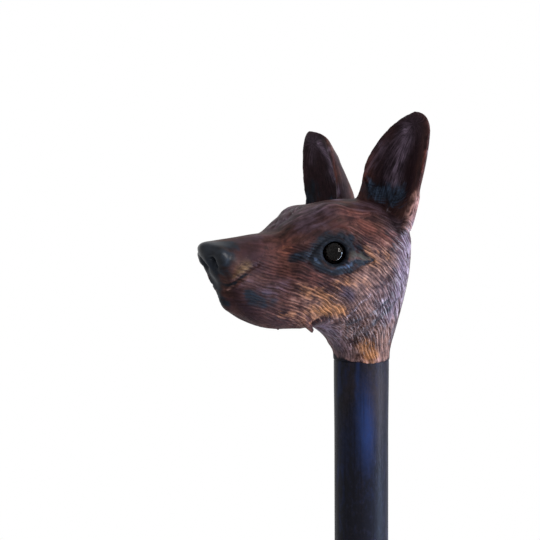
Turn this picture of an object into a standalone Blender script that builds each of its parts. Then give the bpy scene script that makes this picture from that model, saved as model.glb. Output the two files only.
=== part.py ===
"""Carved walking stick: a painted dog's head on a stained natural shaft with a metal foot.

Metres, +Z up. The origin is the centre of the flat under the ferrule, on the shaft's axis.
The snout points to -X and the dog's left side is at -Y.
"""
import math
from collections import namedtuple

import bpy
import bmesh
from mathutils import Matrix, Vector

MM = 0.001

# Fits
CLEARANCE = 0.3 * MM
CUT_OVERSHOOT = 2.0 * MM
ROUND_SIDES = 24

# Stick
COLLAR_HEIGHT = 1313.0 * MM
SHAFT_TOP_DIAMETER = 20.0 * MM
SHAFT_WAIST_DIAMETER = 19.4 * MM
SHAFT_MIDDLE_DIAMETER = 20.6 * MM
SHAFT_BELLY_DIAMETER = 21.6 * MM
SHAFT_ANKLE_DIAMETER = 19.4 * MM
SHAFT_WAIST_SHARE = 0.80
SHAFT_MIDDLE_SHARE = 0.55
SHAFT_BELLY_SHARE = 0.32
SHAFT_ANKLE_SHARE = 0.10
SHAFT_RINGS = 28

# Ferrule and its cross pin
FERRULE_LENGTH = 34.0 * MM
FERRULE_DIAMETER = 16.6 * MM
FERRULE_WALL = 1.2 * MM
FERRULE_SOLE = 5.0 * MM
FERRULE_FOOT_FLAT = 8.0 * MM
FERRULE_DOME = 6.0 * MM
FERRULE_DOME_RINGS = 6
PIN_DIAMETER = 2.0 * MM
PIN_DROP = 10.0 * MM

# Stud that joins the head to the shaft
STUD_DIAMETER = 8.0 * MM
STUD_IN_HEAD = 30.0 * MM
STUD_IN_SHAFT = 45.0 * MM
STUD_CHAMFER = 0.8 * MM

# Head
HEAD_REACH = 70.0 * MM
CROWN_HEIGHT = 57.0 * MM
SKULL_WIDTH = 38.0 * MM
HEAD_SIDE_POINTS = 8
HEAD_SMOOTH_LEVELS = 2
NECK_STRAIGHT = 3.0 * MM
LIP_GROOVE = 0.9 * MM
JAW_GROOVE = 2.2 * MM
NOSTRIL_LENGTH = 4.0 * MM
NOSTRIL_HEIGHT = 2.4 * MM
NOSTRIL_PLACE = (0.985, 0.630, 0.310)
NOSTRIL_TURN = math.radians(35.0)

# Ears: the root's place is in shares of reach, crown height and half the skull's width
EAR_LENGTH = 46.0 * MM
EAR_WIDTH = 27.5 * MM
EAR_CUP_DEPTH = 17.0 * MM
EAR_WALL = 2.4 * MM
EAR_ROOT_PLACE = (0.086, 0.710, 0.710)
EAR_LEAN_BACK = 5.5 * MM
EAR_LEAN_OUT = 14.3 * MM
EAR_TURN = math.radians(14.0)
EAR_LEVELS = 9
EAR_COLUMNS = 6
EAR_LEAN_BEND = 1.7
EAR_ROOT_WIDTH_SHARE = 0.68
EAR_BROADEST_SHARE = 0.50
EAR_TAPER_START_SHARE = 0.35
EAR_TIP_ROUNDNESS = 3.4
EAR_TIP_WIDTH_SHARE = 0.18
EAR_CUP_START_SHARE = 0.45
EAR_CUP_FLARE = 1.5
EAR_DEPTH_FALL = 0.8
EAR_CURL = 2.2

# Glass eyes: the place is in the same shares, on the carved skin
EYE_DIAMETER = 8.0 * MM
EYE_DOME_HEIGHT = 3.0 * MM
EYE_DOME_RINGS = 6
EYE_BACKING_THICKNESS = 1.0 * MM
EYE_PLACE = (0.400, 0.660, 0.860)
EYE_SINK = 1.2 * MM
EYE_TURN = math.radians(30.0)
LID_LENGTH = 15.0 * MM
LID_MARGIN = 1.7 * MM
LID_RISE = 1.4 * MM

Station = namedtuple("Station", "name top bottom breadth widest upper lower")
Stroke = namedtuple("Stroke", "name place reach push")
Knot = namedtuple("Knot", "radius height")

# The carver's stations, from the nose to the foot of the neck. Each is an oval across the head.
# top and bottom are shares of the head's reach and of the crown's height, breadth is a share of
# half the skull's width, widest is the share of the way down at which the oval is broadest, and
# upper and lower are the roundness above and below it: 1 is an ellipse, less is squarer.
HEAD_STATIONS = (
    Station("nose_front", (1.008, 0.700), (0.983, 0.610), 0.00, 0.50, 1.0, 1.0),
    Station("nose_pad", (0.993, 0.720), (0.943, 0.560), 0.36, 0.38, 0.65, 1.05),
    Station("nose_back", (0.925, 0.735), (0.885, 0.475), 0.390, 0.38, 0.65, 0.9),
    Station("muzzle_front", (0.825, 0.755), (0.860, 0.355), 0.42, 0.48, 0.75, 0.9),
    Station("muzzle_middle", (0.715, 0.775), (0.785, 0.275), 0.485, 0.55, 0.75, 0.9),
    Station("muzzle_root", (0.635, 0.790), (0.670, 0.228), 0.57, 0.55, 0.75, 0.85),
    Station("stop", (0.565, 0.822), (0.585, 0.213), 0.70, 0.50, 0.70, 0.85),
    Station("brow", (0.470, 0.905), (0.520, 0.210), 0.86, 0.46, 0.62, 0.85),
    Station("forehead", (0.340, 0.970), (0.457, 0.210), 0.96, 0.46, 0.62, 0.85),
    Station("crown", (0.170, 1.005), (0.404, 0.207), 1.02, 0.44, 0.60, 0.85),
    Station("ear_line", (0.010, 1.000), (0.335, 0.222), 1.12, 0.40, 0.60, 0.9),
    Station("occiput", (-0.140, 0.920), (0.275, 0.195), 1.14, 0.42, 0.65, 1.0),
    Station("nape", (-0.220, 0.730), (0.218, 0.150), 1.00, 0.45, 0.80, 1.0),
    Station("neck", (-0.222, 0.490), (0.178, 0.108), 0.81, 0.50, 1.0, 1.0),
    Station("neck_root", (-0.186, 0.255), (0.170, 0.070), 0.68, 0.50, 1.0, 1.0),
)

# Gouge strokes on the left side, repeated on the right: a place as shares of reach, of the
# crown's height and of half the skull's width, then how far the stroke reaches and how far it
# pushes the skin outwards, as shares of half the skull's width.
HEAD_STROKES = (
    Stroke("eye_hollow", (0.46, 0.67, 0.82), 0.47, -0.095),
    Stroke("brow_ridge", (0.36, 0.95, 0.62), 0.39, 0.115),
    Stroke("muzzle_flank", (0.66, 0.64, 0.48), 0.47, -0.058),
    Stroke("cheek", (0.33, 0.45, 1.00), 0.58, 0.047),
    Stroke("temple", (0.22, 0.86, 0.90), 0.37, -0.053),
    Stroke("stop_furrow", (0.53, 0.86, 0.00), 0.32, -0.053),
    Stroke("brow_furrow", (0.30, 1.00, 0.00), 0.37, -0.037),
    Stroke("ear_base", (-0.02, 0.76, 1.12), 0.63, 0.074),
    Stroke("whisker_pad", (0.87, 0.56, 0.42), 0.32, 0.032),
    Stroke("jaw_tuft", (0.485, 0.200, 0.40), 0.26, 0.075),
)

# Routes of the V-tool on the left side, as shares like the strokes' places
LIP_ROUTE = (
    (0.965, 0.480, 0.00),
    (0.945, 0.470, 0.20),
    (0.915, 0.480, 0.37),
    (0.865, 0.520, 0.46),
    (0.800, 0.590, 0.52),
)
JAW_ROUTE = (
    (0.435, 0.200, 0.00),
    (0.435, 0.205, 0.30),
    (0.420, 0.250, 0.55),
)

# Sizes that follow from the driving ones
NECK_RADIUS = SHAFT_TOP_DIAMETER / 2.0
SHAFT_TOP = COLLAR_HEIGHT - CLEARANCE
FERRULE_RADIUS = FERRULE_DIAMETER / 2.0
FERRULE_BORE_RADIUS = FERRULE_RADIUS - FERRULE_WALL
TENON_RADIUS = FERRULE_BORE_RADIUS - CLEARANCE
TENON_FOOT = FERRULE_SOLE + CLEARANCE
SHOULDER_HEIGHT = FERRULE_LENGTH + CLEARANCE
PIN_HEIGHT = FERRULE_LENGTH - PIN_DROP
EYE_RADIUS = EYE_DIAMETER / 2.0


def clear_scene():
    for item in list(bpy.data.objects):
        bpy.data.objects.remove(item, do_unlink=True)


def make_collection(name):
    collection = bpy.data.collections.new(name)
    bpy.context.scene.collection.children.link(collection)
    return collection


def make_material(name, colour, roughness, metallic=0.0, transmission=0.0):
    material = bpy.data.materials.new(name)
    material.use_nodes = True
    shader = material.node_tree.nodes["Principled BSDF"]
    shader.inputs["Base Color"].default_value = (*colour, 1.0)
    shader.inputs["Roughness"].default_value = roughness
    shader.inputs["Metallic"].default_value = metallic
    shader.inputs["Transmission Weight"].default_value = transmission
    material.diffuse_color = (*colour, 1.0)
    return material


def link_object(name, mesh, collection, material=None):
    item = bpy.data.objects.new(name, mesh)
    collection.objects.link(item)
    if material:
        mesh.materials.clear()
        mesh.materials.append(material)
    return item


def hide_guide(item):
    item.hide_render = True
    item.display_type = "WIRE"


def baked_mesh(item):
    """The object's mesh with its modifiers applied."""
    graph = bpy.context.evaluated_depsgraph_get()
    return bpy.data.meshes.new_from_object(item.evaluated_get(graph))


def shade_round(mesh):
    mesh.shade_smooth()
    mesh.set_sharp_from_angle(angle=math.radians(40.0))


def side_name(side, thing):
    return f"left_{thing}" if side < 0 else f"right_{thing}"


def boolean(item, other, operation):
    modifier = item.modifiers.new(f"{operation.lower()}_{other.name}", "BOOLEAN")
    modifier.operation = operation
    modifier.solver = "EXACT"
    modifier.object = other


def turned(name, profile, collection, material):
    """A solid of revolution about Z, from a profile of (radius, height) run top to bottom."""
    mesh = bpy.data.meshes.new(name)
    points = [(radius, 0.0, height) for radius, height in profile]
    edges = [(index, index + 1) for index in range(len(points) - 1)]
    mesh.from_pydata(points, edges, [])
    item = link_object(name, mesh, collection, material)
    screw = item.modifiers.new("turn", "SCREW")
    screw.axis = "Z"
    screw.angle = math.tau
    screw.steps = ROUND_SIDES
    screw.render_steps = ROUND_SIDES
    screw.use_merge_vertices = True
    screw.merge_threshold = 0.01 * MM
    screw.use_smooth_shade = True
    return item


def mesh_from(name, shape):
    mesh = bpy.data.meshes.new(name)
    shape.to_mesh(mesh)
    shape.free()
    shade_round(mesh)
    return mesh


def cylinder(name, radius, length, collection, material=None):
    shape = bmesh.new()
    bmesh.ops.create_cone(
        shape, cap_ends=True, segments=ROUND_SIDES, radius1=radius, radius2=radius, depth=length
    )
    return link_object(name, mesh_from(name, shape), collection, material)


def blend(before, start, end, after, t):
    """A smooth line from start to end that leaves and arrives as its neighbours ask."""
    slope_in = (end - before) / 2.0
    slope_out = (after - start) / 2.0
    return (
        start * (2.0 * t ** 3 - 3.0 * t ** 2 + 1.0)
        + slope_in * (t ** 3 - 2.0 * t ** 2 + t)
        + end * (3.0 * t ** 2 - 2.0 * t ** 3)
        + slope_out * (t ** 3 - t ** 2)
    )


def smooth_through(knots, share):
    """Radius and height at a share of the way along a smooth line through the knots."""
    spans = len(knots) - 1
    index = min(int(share * spans), spans - 1)
    t = share * spans - index
    before = knots[max(index - 1, 0)]
    after = knots[min(index + 2, spans)]
    ends = zip(before, knots[index], knots[index + 1], after)
    return Knot(*(blend(*values, t) for values in ends))


def shaft_skin():
    """The shaft's outer line from the collar down to the ferrule's rim."""
    run = SHAFT_TOP - SHOULDER_HEIGHT
    swellings = (
        (SHAFT_WAIST_DIAMETER, SHAFT_WAIST_SHARE),
        (SHAFT_MIDDLE_DIAMETER, SHAFT_MIDDLE_SHARE),
        (SHAFT_BELLY_DIAMETER, SHAFT_BELLY_SHARE),
        (SHAFT_ANKLE_DIAMETER, SHAFT_ANKLE_SHARE),
    )
    knots = [Knot(NECK_RADIUS, SHAFT_TOP)]
    knots += [Knot(diameter / 2.0, SHOULDER_HEIGHT + share * run) for diameter, share in swellings]
    knots.append(Knot(FERRULE_RADIUS, SHOULDER_HEIGHT))
    return [smooth_through(knots, index / SHAFT_RINGS) for index in range(SHAFT_RINGS + 1)]


def make_shaft(parts, cutters, material):
    tenon = ((TENON_RADIUS, SHOULDER_HEIGHT), (TENON_RADIUS, TENON_FOOT), (0.0, TENON_FOOT))
    profile = [(0.0, SHAFT_TOP), *shaft_skin(), *tenon]
    shaft = turned("shaft", profile, parts, material)
    boolean(shaft, stud_bore(cutters, "shaft_stud_bore", -STUD_IN_SHAFT), "DIFFERENCE")
    boolean(shaft, pin_bore(cutters, "shaft_pin_bore"), "DIFFERENCE")


def stud_bore(cutters, name, depth):
    """A blind bore for the stud, up into the head or, with a depth under 0, down into the shaft."""
    direction = math.copysign(1.0, depth)
    end = COLLAR_HEIGHT + depth + direction * CLEARANCE
    mouth = COLLAR_HEIGHT - direction * CUT_OVERSHOOT
    cutter = cylinder(name, STUD_DIAMETER / 2.0 + CLEARANCE, abs(end - mouth), cutters)
    cutter.location.z = (end + mouth) / 2.0
    hide_guide(cutter)
    return cutter


def pin_bore(cutters, name):
    cutter = cylinder(name, PIN_DIAMETER / 2.0 + CLEARANCE, 2.0 * FERRULE_DIAMETER, cutters)
    cutter.rotation_euler.x = math.pi / 2.0
    cutter.location.z = PIN_HEIGHT
    hide_guide(cutter)
    return cutter


def make_stud(parts, material):
    radius = STUD_DIAMETER / 2.0
    top = COLLAR_HEIGHT + STUD_IN_HEAD
    foot = COLLAR_HEIGHT - STUD_IN_SHAFT
    profile = (
        (0.0, top),
        (radius - STUD_CHAMFER, top),
        (radius, top - STUD_CHAMFER),
        (radius, foot + STUD_CHAMFER),
        (radius - STUD_CHAMFER, foot),
        (0.0, foot),
    )
    turned("head_stud", profile, parts, material)


def make_ferrule(parts, cutters, material):
    """A cup over the shaft's tenon, with a rounded nose and a small flat to stand on."""
    flat = FERRULE_FOOT_FLAT / 2.0
    nose = []
    for step in range(FERRULE_DOME_RINGS + 1):
        angle = math.pi / 2.0 * step / FERRULE_DOME_RINGS
        radius = flat + (FERRULE_RADIUS - flat) * math.cos(angle)
        nose.append((radius, FERRULE_DOME * (1.0 - math.sin(angle))))
    cup = ((0.0, FERRULE_SOLE), (FERRULE_BORE_RADIUS, FERRULE_SOLE), (FERRULE_BORE_RADIUS, FERRULE_LENGTH))
    profile = [*cup, (FERRULE_RADIUS, FERRULE_LENGTH), *nose, (0.0, 0.0)]
    ferrule = turned("ferrule", profile, parts, material)
    boolean(ferrule, pin_bore(cutters, "ferrule_pin_bore"), "DIFFERENCE")


def make_ferrule_pin(parts, material):
    pin = cylinder("ferrule_pin", PIN_DIAMETER / 2.0, FERRULE_DIAMETER, parts, material)
    pin.rotation_euler.x = math.pi / 2.0
    pin.location.z = PIN_HEIGHT


def head_place(reach, rise, breadth=0.0):
    """A point from shares of the head's reach, the crown's height and half the skull's width."""
    return Vector((
        -reach * HEAD_REACH,
        -breadth * SKULL_WIDTH / 2.0,
        COLLAR_HEIGHT + rise * CROWN_HEIGHT,
    ))


def station_ring(top, bottom, breadth, widest=0.5, upper=1.0, lower=1.0):
    """Half an oval at -Y, from the top of the head to the underside.

    It is drawn a little large, because the smoothing that follows draws an oval in.
    """
    count = HEAD_SIDE_POINTS
    swell = 3.0 / (2.0 + math.cos(math.pi / count))
    middle = top.lerp(bottom, 0.5)
    top = middle + (top - middle) * swell
    bottom = middle + (bottom - middle) * swell
    ring = []
    for index in range(count + 1):
        angle = math.pi * index / count
        along = math.cos(angle)
        roundness = upper if along > 0.0 else lower
        share = widest * (1.0 - along) if along > 0.0 else widest - (1.0 - widest) * along
        point = top.lerp(bottom, share)
        point.y = 0.0
        if 0 < index < count:
            point.y = -breadth * swell * math.sin(angle) ** roundness
        ring.append(point)
    return ring


def head_rings():
    rings = []
    for station in HEAD_STATIONS:
        top = head_place(*station.top)
        bottom = head_place(*station.bottom)
        breadth = station.breadth * SKULL_WIDTH / 2.0
        rings.append(station_ring(top, bottom, breadth, station.widest, station.upper, station.lower))
    for step in (1.0, -1.0, -2.0):
        height = COLLAR_HEIGHT + step * NECK_STRAIGHT
        back = Vector((NECK_RADIUS, 0.0, height))
        front = Vector((-NECK_RADIUS, 0.0, height))
        rings.append(station_ring(back, front, NECK_RADIUS))
    return rings


def loft(name, rings, collection, material=None, closed=False):
    """Quads between neighbouring rings of points."""
    shape = bmesh.new()
    rows = [[shape.verts.new(point) for point in ring] for ring in rings]
    for row, following in zip(rows, rows[1:]):
        count = len(row) if closed else len(row) - 1
        for index in range(count):
            after = (index + 1) % len(row)
            shape.faces.new((row[index], row[after], following[after], following[index]))
    if closed:
        shape.faces.new(rows[0])
        shape.faces.new(rows[-1])
    bmesh.ops.remove_doubles(shape, verts=shape.verts, dist=0.01 * MM)
    bmesh.ops.recalc_face_normals(shape, faces=shape.faces)
    return link_object(name, mesh_from(name, shape), collection, material)


def subdivide(item, levels):
    modifier = item.modifiers.new("round", "SUBSURF")
    modifier.levels = levels
    modifier.render_levels = levels


def make_skull(parts, material):
    rings = head_rings()
    foot = [Vector((point.x, 0.0, point.z)) for point in rings[-1]]
    skull = loft("carved_head", [*rings, foot], parts, material)
    mirror = skull.modifiers.new("mirror", "MIRROR")
    mirror.use_axis = (False, True, False)
    mirror.use_clip = True
    mirror.merge_threshold = 0.02 * MM
    subdivide(skull, HEAD_SMOOTH_LEVELS)
    mesh = baked_mesh(skull)
    skull.modifiers.clear()
    skull.data = mesh
    for stroke in HEAD_STROKES:
        carve_stroke(skull.data, stroke)
    return skull


def carve_stroke(mesh, stroke):
    """Push the surface in or out round a place, fading to nothing at the stroke's reach."""
    left = head_place(*stroke.place)
    right = left * Vector((1.0, -1.0, 1.0))
    reach = stroke.reach * SKULL_WIDTH / 2.0
    push = stroke.push * SKULL_WIDTH / 2.0
    moves = []
    for vertex in mesh.vertices:
        near = min((vertex.co - left).length, (vertex.co - right).length)
        if near < reach:
            fade = (1.0 - (near / reach) ** 2) ** 2
            moves.append((vertex, vertex.normal * push * fade))
    for vertex, move in moves:
        vertex.co += move
    mesh.update()


def on_skin(item, point):
    """The nearest point of the item's surface."""
    place = item.closest_point_on_mesh(point)[1]
    return place


def skin_place(item, place, side):
    """A place in shares, for the left side at -1 or the right side at 1, laid on the skin."""
    reach, rise, breadth = place
    return on_skin(item, head_place(reach, rise, -side * breadth))


def skin_frame(item, place, side):
    """A frame on the skin at a place in shares, with +X level and +Z straight out of the skin."""
    reach, rise, breadth = place
    spot, outward = item.closest_point_on_mesh(head_place(reach, rise, -side * breadth))[1:3]
    level = Vector((0.0, 0.0, 1.0)).cross(outward).normalized()
    turn = Matrix((level, outward.cross(level), outward)).transposed()
    return Matrix.Translation(spot) @ turn.to_4x4()


def bead(name, points, radius, collection):
    """A round tube along the points, made a mesh so that it can cut or join."""
    curve = bpy.data.curves.new(name, "CURVE")
    curve.dimensions = "3D"
    curve.bevel_depth = radius
    curve.bevel_resolution = 1
    curve.use_fill_caps = True
    line = curve.splines.new("POLY")
    line.points.add(len(points) - 1)
    for spot, point in zip(line.points, points):
        spot.co = (*point, 1.0)
    guide = bpy.data.objects.new(name, curve)
    collection.objects.link(guide)
    mesh = baked_mesh(guide)
    bpy.data.objects.remove(guide)
    shape = bmesh.new()
    shape.from_mesh(mesh)
    bmesh.ops.remove_doubles(shape, verts=shape.verts, dist=0.001 * MM)
    bmesh.ops.recalc_face_normals(shape, faces=shape.faces)
    item = link_object(name, mesh_from(name, shape), collection)
    hide_guide(item)
    return item


def v_tool(head, name, route, width, cutters):
    """One groove from the left side round the underside to the right side."""
    left = [skin_place(head, place, -1.0) for place in route]
    right = [skin_place(head, place, 1.0) for place in route[1:]]
    return bead(name, [*reversed(left), *right], width / 2.0, cutters)


def make_nostril(head, side, cutters):
    shape = bmesh.new()
    bmesh.ops.create_uvsphere(shape, u_segments=12, v_segments=8, radius=0.5)
    bmesh.ops.scale(shape, verts=shape.verts, vec=(NOSTRIL_LENGTH, NOSTRIL_HEIGHT, NOSTRIL_HEIGHT))
    name = side_name(side, "nostril")
    cutter = link_object(name, mesh_from(name, shape), cutters)
    cutter.location = skin_place(head, NOSTRIL_PLACE, side)
    cutter.rotation_euler.z = side * NOSTRIL_TURN
    hide_guide(cutter)
    return cutter


def leaf_width(rise):
    """Share of the ear's full width at a height: drawn in at the root and round at the tip."""
    spread = math.sin(min(1.0, rise / EAR_BROADEST_SHARE) * math.pi / 2.0)
    root = EAR_ROOT_WIDTH_SHARE + (1.0 - EAR_ROOT_WIDTH_SHARE) * spread
    taper = max(0.0, rise - EAR_TAPER_START_SHARE) / (1.0 - EAR_TAPER_START_SHARE)
    return root * max(EAR_TIP_WIDTH_SHARE, math.sqrt(1.0 - taper ** EAR_TIP_ROUNDNESS))


def ear_ring(centre, outward, backward, rise):
    """One level of the ear: the curved back, then the hollow front, which is flat at the root."""
    width = leaf_width(rise)
    half = EAR_WIDTH / 2.0 * width
    inner = max(half - EAR_WALL, half / 4.0)
    deep = EAR_CUP_DEPTH * (1.0 - rise) ** EAR_DEPTH_FALL + EAR_WALL * width
    hollow = (deep - EAR_WALL) * min(1.0, rise / EAR_CUP_START_SHARE) ** EAR_CUP_FLARE
    back = []
    front = []
    for column in range(EAR_COLUMNS + 1):
        across = 2.0 * column / EAR_COLUMNS - 1.0
        curl = 1.0 - abs(across) ** EAR_CURL
        back.append(centre + outward * half * across + backward * deep * curl)
        front.append(centre + outward * inner * across + backward * hollow * curl)
    return [*back, *reversed(front)]


def make_ear(side, cutters):
    """A cupped leaf that is solid at its root and a thin cup above."""
    reach, rise, breadth = EAR_ROOT_PLACE
    root = head_place(reach, rise, -side * breadth)
    lean = Vector((EAR_LEAN_BACK, side * EAR_LEAN_OUT, 0.0))
    outward = Vector((math.sin(EAR_TURN), side * math.cos(EAR_TURN), 0.0))
    backward = Vector((math.cos(EAR_TURN), -side * math.sin(EAR_TURN), 0.0))
    rings = []
    for level in range(EAR_LEVELS + 1):
        share = level / EAR_LEVELS
        centre = root + lean * share ** EAR_LEAN_BEND
        centre.z += EAR_LENGTH * share
        rings.append(ear_ring(centre, outward, backward, share))
    ear = loft(side_name(side, "ear"), rings, cutters, closed=True)
    subdivide(ear, 1)
    hide_guide(ear)
    return ear


def eye_frame(head, side):
    """The lens's flat back, sunk below the skin, with +Z along the eye's line of sight."""
    sight = Vector((-math.sin(EYE_TURN), side * math.cos(EYE_TURN), 0.0))
    place = skin_place(head, EYE_PLACE, side) - sight * EYE_SINK
    return Matrix.Translation(place) @ sight.to_track_quat("Z", "Y").to_matrix().to_4x4()


def make_lens(frame, side, parts, material):
    ball = (EYE_RADIUS ** 2 + EYE_DOME_HEIGHT ** 2) / (2.0 * EYE_DOME_HEIGHT)
    spread = math.asin(EYE_RADIUS / ball)
    dome = []
    for step in range(EYE_DOME_RINGS + 1):
        angle = spread * step / EYE_DOME_RINGS
        dome.append((ball * math.sin(angle), ball * math.cos(angle) - ball + EYE_DOME_HEIGHT))
    lens = turned(side_name(side, "eye_glass"), [*dome, (0.0, 0.0)], parts, material)
    lens.matrix_world = frame


def make_backing(frame, side, parts, material):
    front = -CLEARANCE
    back = front - EYE_BACKING_THICKNESS
    profile = ((0.0, front), (EYE_RADIUS, front), (EYE_RADIUS, back), (0.0, back))
    backing = turned(side_name(side, "eye_backing"), profile, parts, material)
    backing.matrix_world = frame


def make_socket(frame, side, cutters):
    """A round seat for the backing and the lens, open to the front."""
    deep = EYE_BACKING_THICKNESS + 2.0 * CLEARANCE
    length = deep + EYE_DIAMETER
    socket = cylinder(side_name(side, "socket"), EYE_RADIUS + CLEARANCE, length, cutters)
    socket.matrix_world = frame @ Matrix.Translation((0.0, 0.0, length / 2.0 - deep))
    hide_guide(socket)
    return socket


def make_lids(head, side, cutters):
    """The swelling of both lids on the skin. The socket's cut leaves it as a rim round the glass."""
    shape = bmesh.new()
    bmesh.ops.create_uvsphere(shape, u_segments=20, v_segments=10, radius=1.0)
    size = (LID_LENGTH / 2.0, EYE_RADIUS + LID_MARGIN, LID_RISE)
    bmesh.ops.scale(shape, verts=shape.verts, vec=size)
    name = side_name(side, "lids")
    lids = link_object(name, mesh_from(name, shape), cutters)
    lids.matrix_world = skin_frame(head, EYE_PLACE, side)
    hide_guide(lids)
    return lids


def make_neck_trim(cutters):
    """Cuts the head flat where it meets the shaft."""
    height = 4.0 * NECK_STRAIGHT
    trim = cylinder("neck_trim", 2.0 * NECK_RADIUS, height, cutters)
    trim.location.z = COLLAR_HEIGHT - height / 2.0
    hide_guide(trim)
    return trim


def make_head(parts, cutters, materials):
    head = make_skull(parts, materials["fur"])
    additions = []
    cuts = [
        v_tool(head, "lip_line", LIP_ROUTE, LIP_GROOVE, cutters),
        v_tool(head, "jaw_crease", JAW_ROUTE, JAW_GROOVE, cutters),
        make_neck_trim(cutters),
        stud_bore(cutters, "head_stud_bore", STUD_IN_HEAD),
    ]
    for side in (-1.0, 1.0):
        frame = eye_frame(head, side)
        make_lens(frame, side, parts, materials["glass"])
        make_backing(frame, side, parts, materials["iris"])
        additions += [make_ear(side, cutters), make_lids(head, side, cutters)]
        cuts += [make_nostril(head, side, cutters), make_socket(frame, side, cutters)]
    for addition in additions:
        boolean(head, addition, "UNION")
    for cut in cuts:
        boolean(head, cut, "DIFFERENCE")


def main():
    clear_scene()
    parts = make_collection("carved_walking_stick")
    cutters = make_collection("cutters")
    materials = {
        "fur": make_material("painted_fur", (0.23, 0.10, 0.06), 0.45),
        "stain": make_material("dark_stain", (0.02, 0.017, 0.025), 0.4),
        "glass": make_material("eye_glass", (0.9, 0.9, 0.9), 0.03, transmission=1.0),
        "iris": make_material("painted_iris", (0.03, 0.015, 0.01), 0.3),
        "steel": make_material("stud_steel", (0.5, 0.5, 0.52), 0.35, metallic=1.0),
        "dull_metal": make_material("ferrule_metal", (0.16, 0.15, 0.17), 0.45, metallic=0.9),
    }
    make_head(parts, cutters, materials)
    make_shaft(parts, cutters, materials["stain"])
    make_stud(parts, materials["steel"])
    make_ferrule(parts, cutters, materials["dull_metal"])
    make_ferrule_pin(parts, materials["steel"])


main()
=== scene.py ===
import math

import bpy
import numpy as np
from mathutils import Matrix, Vector
from mathutils.bvhtree import BVHTree


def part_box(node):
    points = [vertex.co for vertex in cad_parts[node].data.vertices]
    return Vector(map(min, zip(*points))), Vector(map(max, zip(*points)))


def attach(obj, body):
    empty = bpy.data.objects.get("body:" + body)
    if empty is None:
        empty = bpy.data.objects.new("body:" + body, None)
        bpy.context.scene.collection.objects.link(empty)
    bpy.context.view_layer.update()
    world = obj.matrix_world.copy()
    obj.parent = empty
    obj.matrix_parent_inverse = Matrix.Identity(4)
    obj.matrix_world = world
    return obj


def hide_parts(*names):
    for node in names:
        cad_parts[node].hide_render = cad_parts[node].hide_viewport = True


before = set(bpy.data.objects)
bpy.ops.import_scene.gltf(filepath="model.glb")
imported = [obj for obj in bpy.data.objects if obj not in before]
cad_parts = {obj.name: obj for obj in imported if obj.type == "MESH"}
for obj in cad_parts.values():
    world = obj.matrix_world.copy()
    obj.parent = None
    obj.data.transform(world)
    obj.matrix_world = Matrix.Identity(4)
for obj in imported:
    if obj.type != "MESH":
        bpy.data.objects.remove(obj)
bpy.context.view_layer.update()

mm = 0.001
boxMargin = 0.02 * mm     # how far the new skins stay inside the boxes of the CAD pieces

# Places on the head are written in millimetres from the centre of the collar, where the head
# meets the shaft: X to the back of the head, Y to the dog's right, Z up.
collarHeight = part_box("carved_head")[0].z

# The photograph is 540 pixels square. This is the camera that fits it.
photo = {
    "size": 540,
    "focal": 896.3,                       # in pixels
    "place": (-226.8, -236.4, 32.0),      # millimetres from the collar
    "aim": (-42.1, 0.0, 32.0),
    "sensor": 36.0,
    "clip": (0.01, 50.0),                 # metres
}


def fromCollar(x, y, z):
    return Vector((x * mm, y * mm, collarHeight + z * mm))


def photoRay(x, y):
    # the line of sight through a pixel of the photograph
    place = fromCollar(*photo["place"])
    forward = (fromCollar(*photo["aim"]) - place).normalized()
    right = forward.cross(Vector((0, 0, 1))).normalized()
    up = right.cross(forward)
    middle = photo["size"] / 2
    across = (x - middle) / photo["focal"]
    rise = (middle - y) / photo["focal"]
    return place, (forward + right * across + up * rise).normalized()


class Value:
    # one socket of a material's nodes, so that sums on patterns are written as Python
    def __init__(self, tree, socket):
        self.tree = tree
        self.socket = socket

    def make(self, kind, settings=None, inputs=None, output=0):
        # any node: its settings first, then the values or the links of its sockets
        node = self.tree.nodes.new(kind)
        for name, setting in (settings or {}).items():
            setattr(node, name, setting)
        for name, value in (inputs or {}).items():
            if isinstance(value, Value):
                self.tree.links.new(value.socket, node.inputs[name])
            else:
                node.inputs[name].default_value = value
        return Value(self.tree, node.outputs[output])

    def math(self, operation, first, second=0.0, clamp=False):
        settings = {"operation": operation, "use_clamp": clamp}
        return self.make("ShaderNodeMath", settings, {0: first, 1: second})

    def __add__(self, other):
        return self.math("ADD", self, other)

    __radd__ = __add__

    def __mul__(self, other):
        return self.math("MULTIPLY", self, other)

    __rmul__ = __mul__

    def __sub__(self, other):
        return self.math("SUBTRACT", self, other)

    def __rsub__(self, other):
        return self.math("SUBTRACT", other, self)

    def __truediv__(self, other):
        return self.math("DIVIDE", self, other)

    def __pow__(self, other):
        return self.math("POWER", self, other)

    def clamped(self):
        return self.math("ADD", self, 0.0, clamp=True)

    def step(self, low, high):
        # 0 under low, 1 over high, with a soft bend between
        inputs = {"Value": self, "From Min": low, "From Max": high}
        return self.make("ShaderNodeMapRange", {"interpolation_type": "SMOOTHSTEP"}, inputs)

    def paint(self, under, over):
        # the colour under, with over laid on it where this value is 1
        inputs = {"Factor": self, 6: colour(under), 7: colour(over)}
        settings = {"data_type": "RGBA", "clamp_factor": True}
        return self.make("ShaderNodeMix", settings, inputs, output=2)

    def brightened(self, amount):
        # a colour times a number
        return self.make("ShaderNodeVectorMath", {"operation": "SCALE"}, {0: self, "Scale": amount})

    def scaled(self, amounts):
        # a vector with each of its parts times an amount
        return self.make("ShaderNodeVectorMath", {"operation": "MULTIPLY"}, {0: self, 1: amounts})

    def moved(self, other):
        return self.make("ShaderNodeVectorMath", {"operation": "ADD"}, {0: self, 1: other})

    def noise(self, scale, detail=2.0, roughness=0.5, output=0):
        inputs = {"Vector": self, "Scale": scale, "Detail": detail, "Roughness": roughness}
        return self.make("ShaderNodeTexNoise", {"noise_dimensions": "3D"}, inputs, output)

    def bump(self, strength, distance):
        inputs = {"Height": self, "Strength": strength, "Distance": distance}
        return self.make("ShaderNodeBump", {}, inputs)


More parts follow.
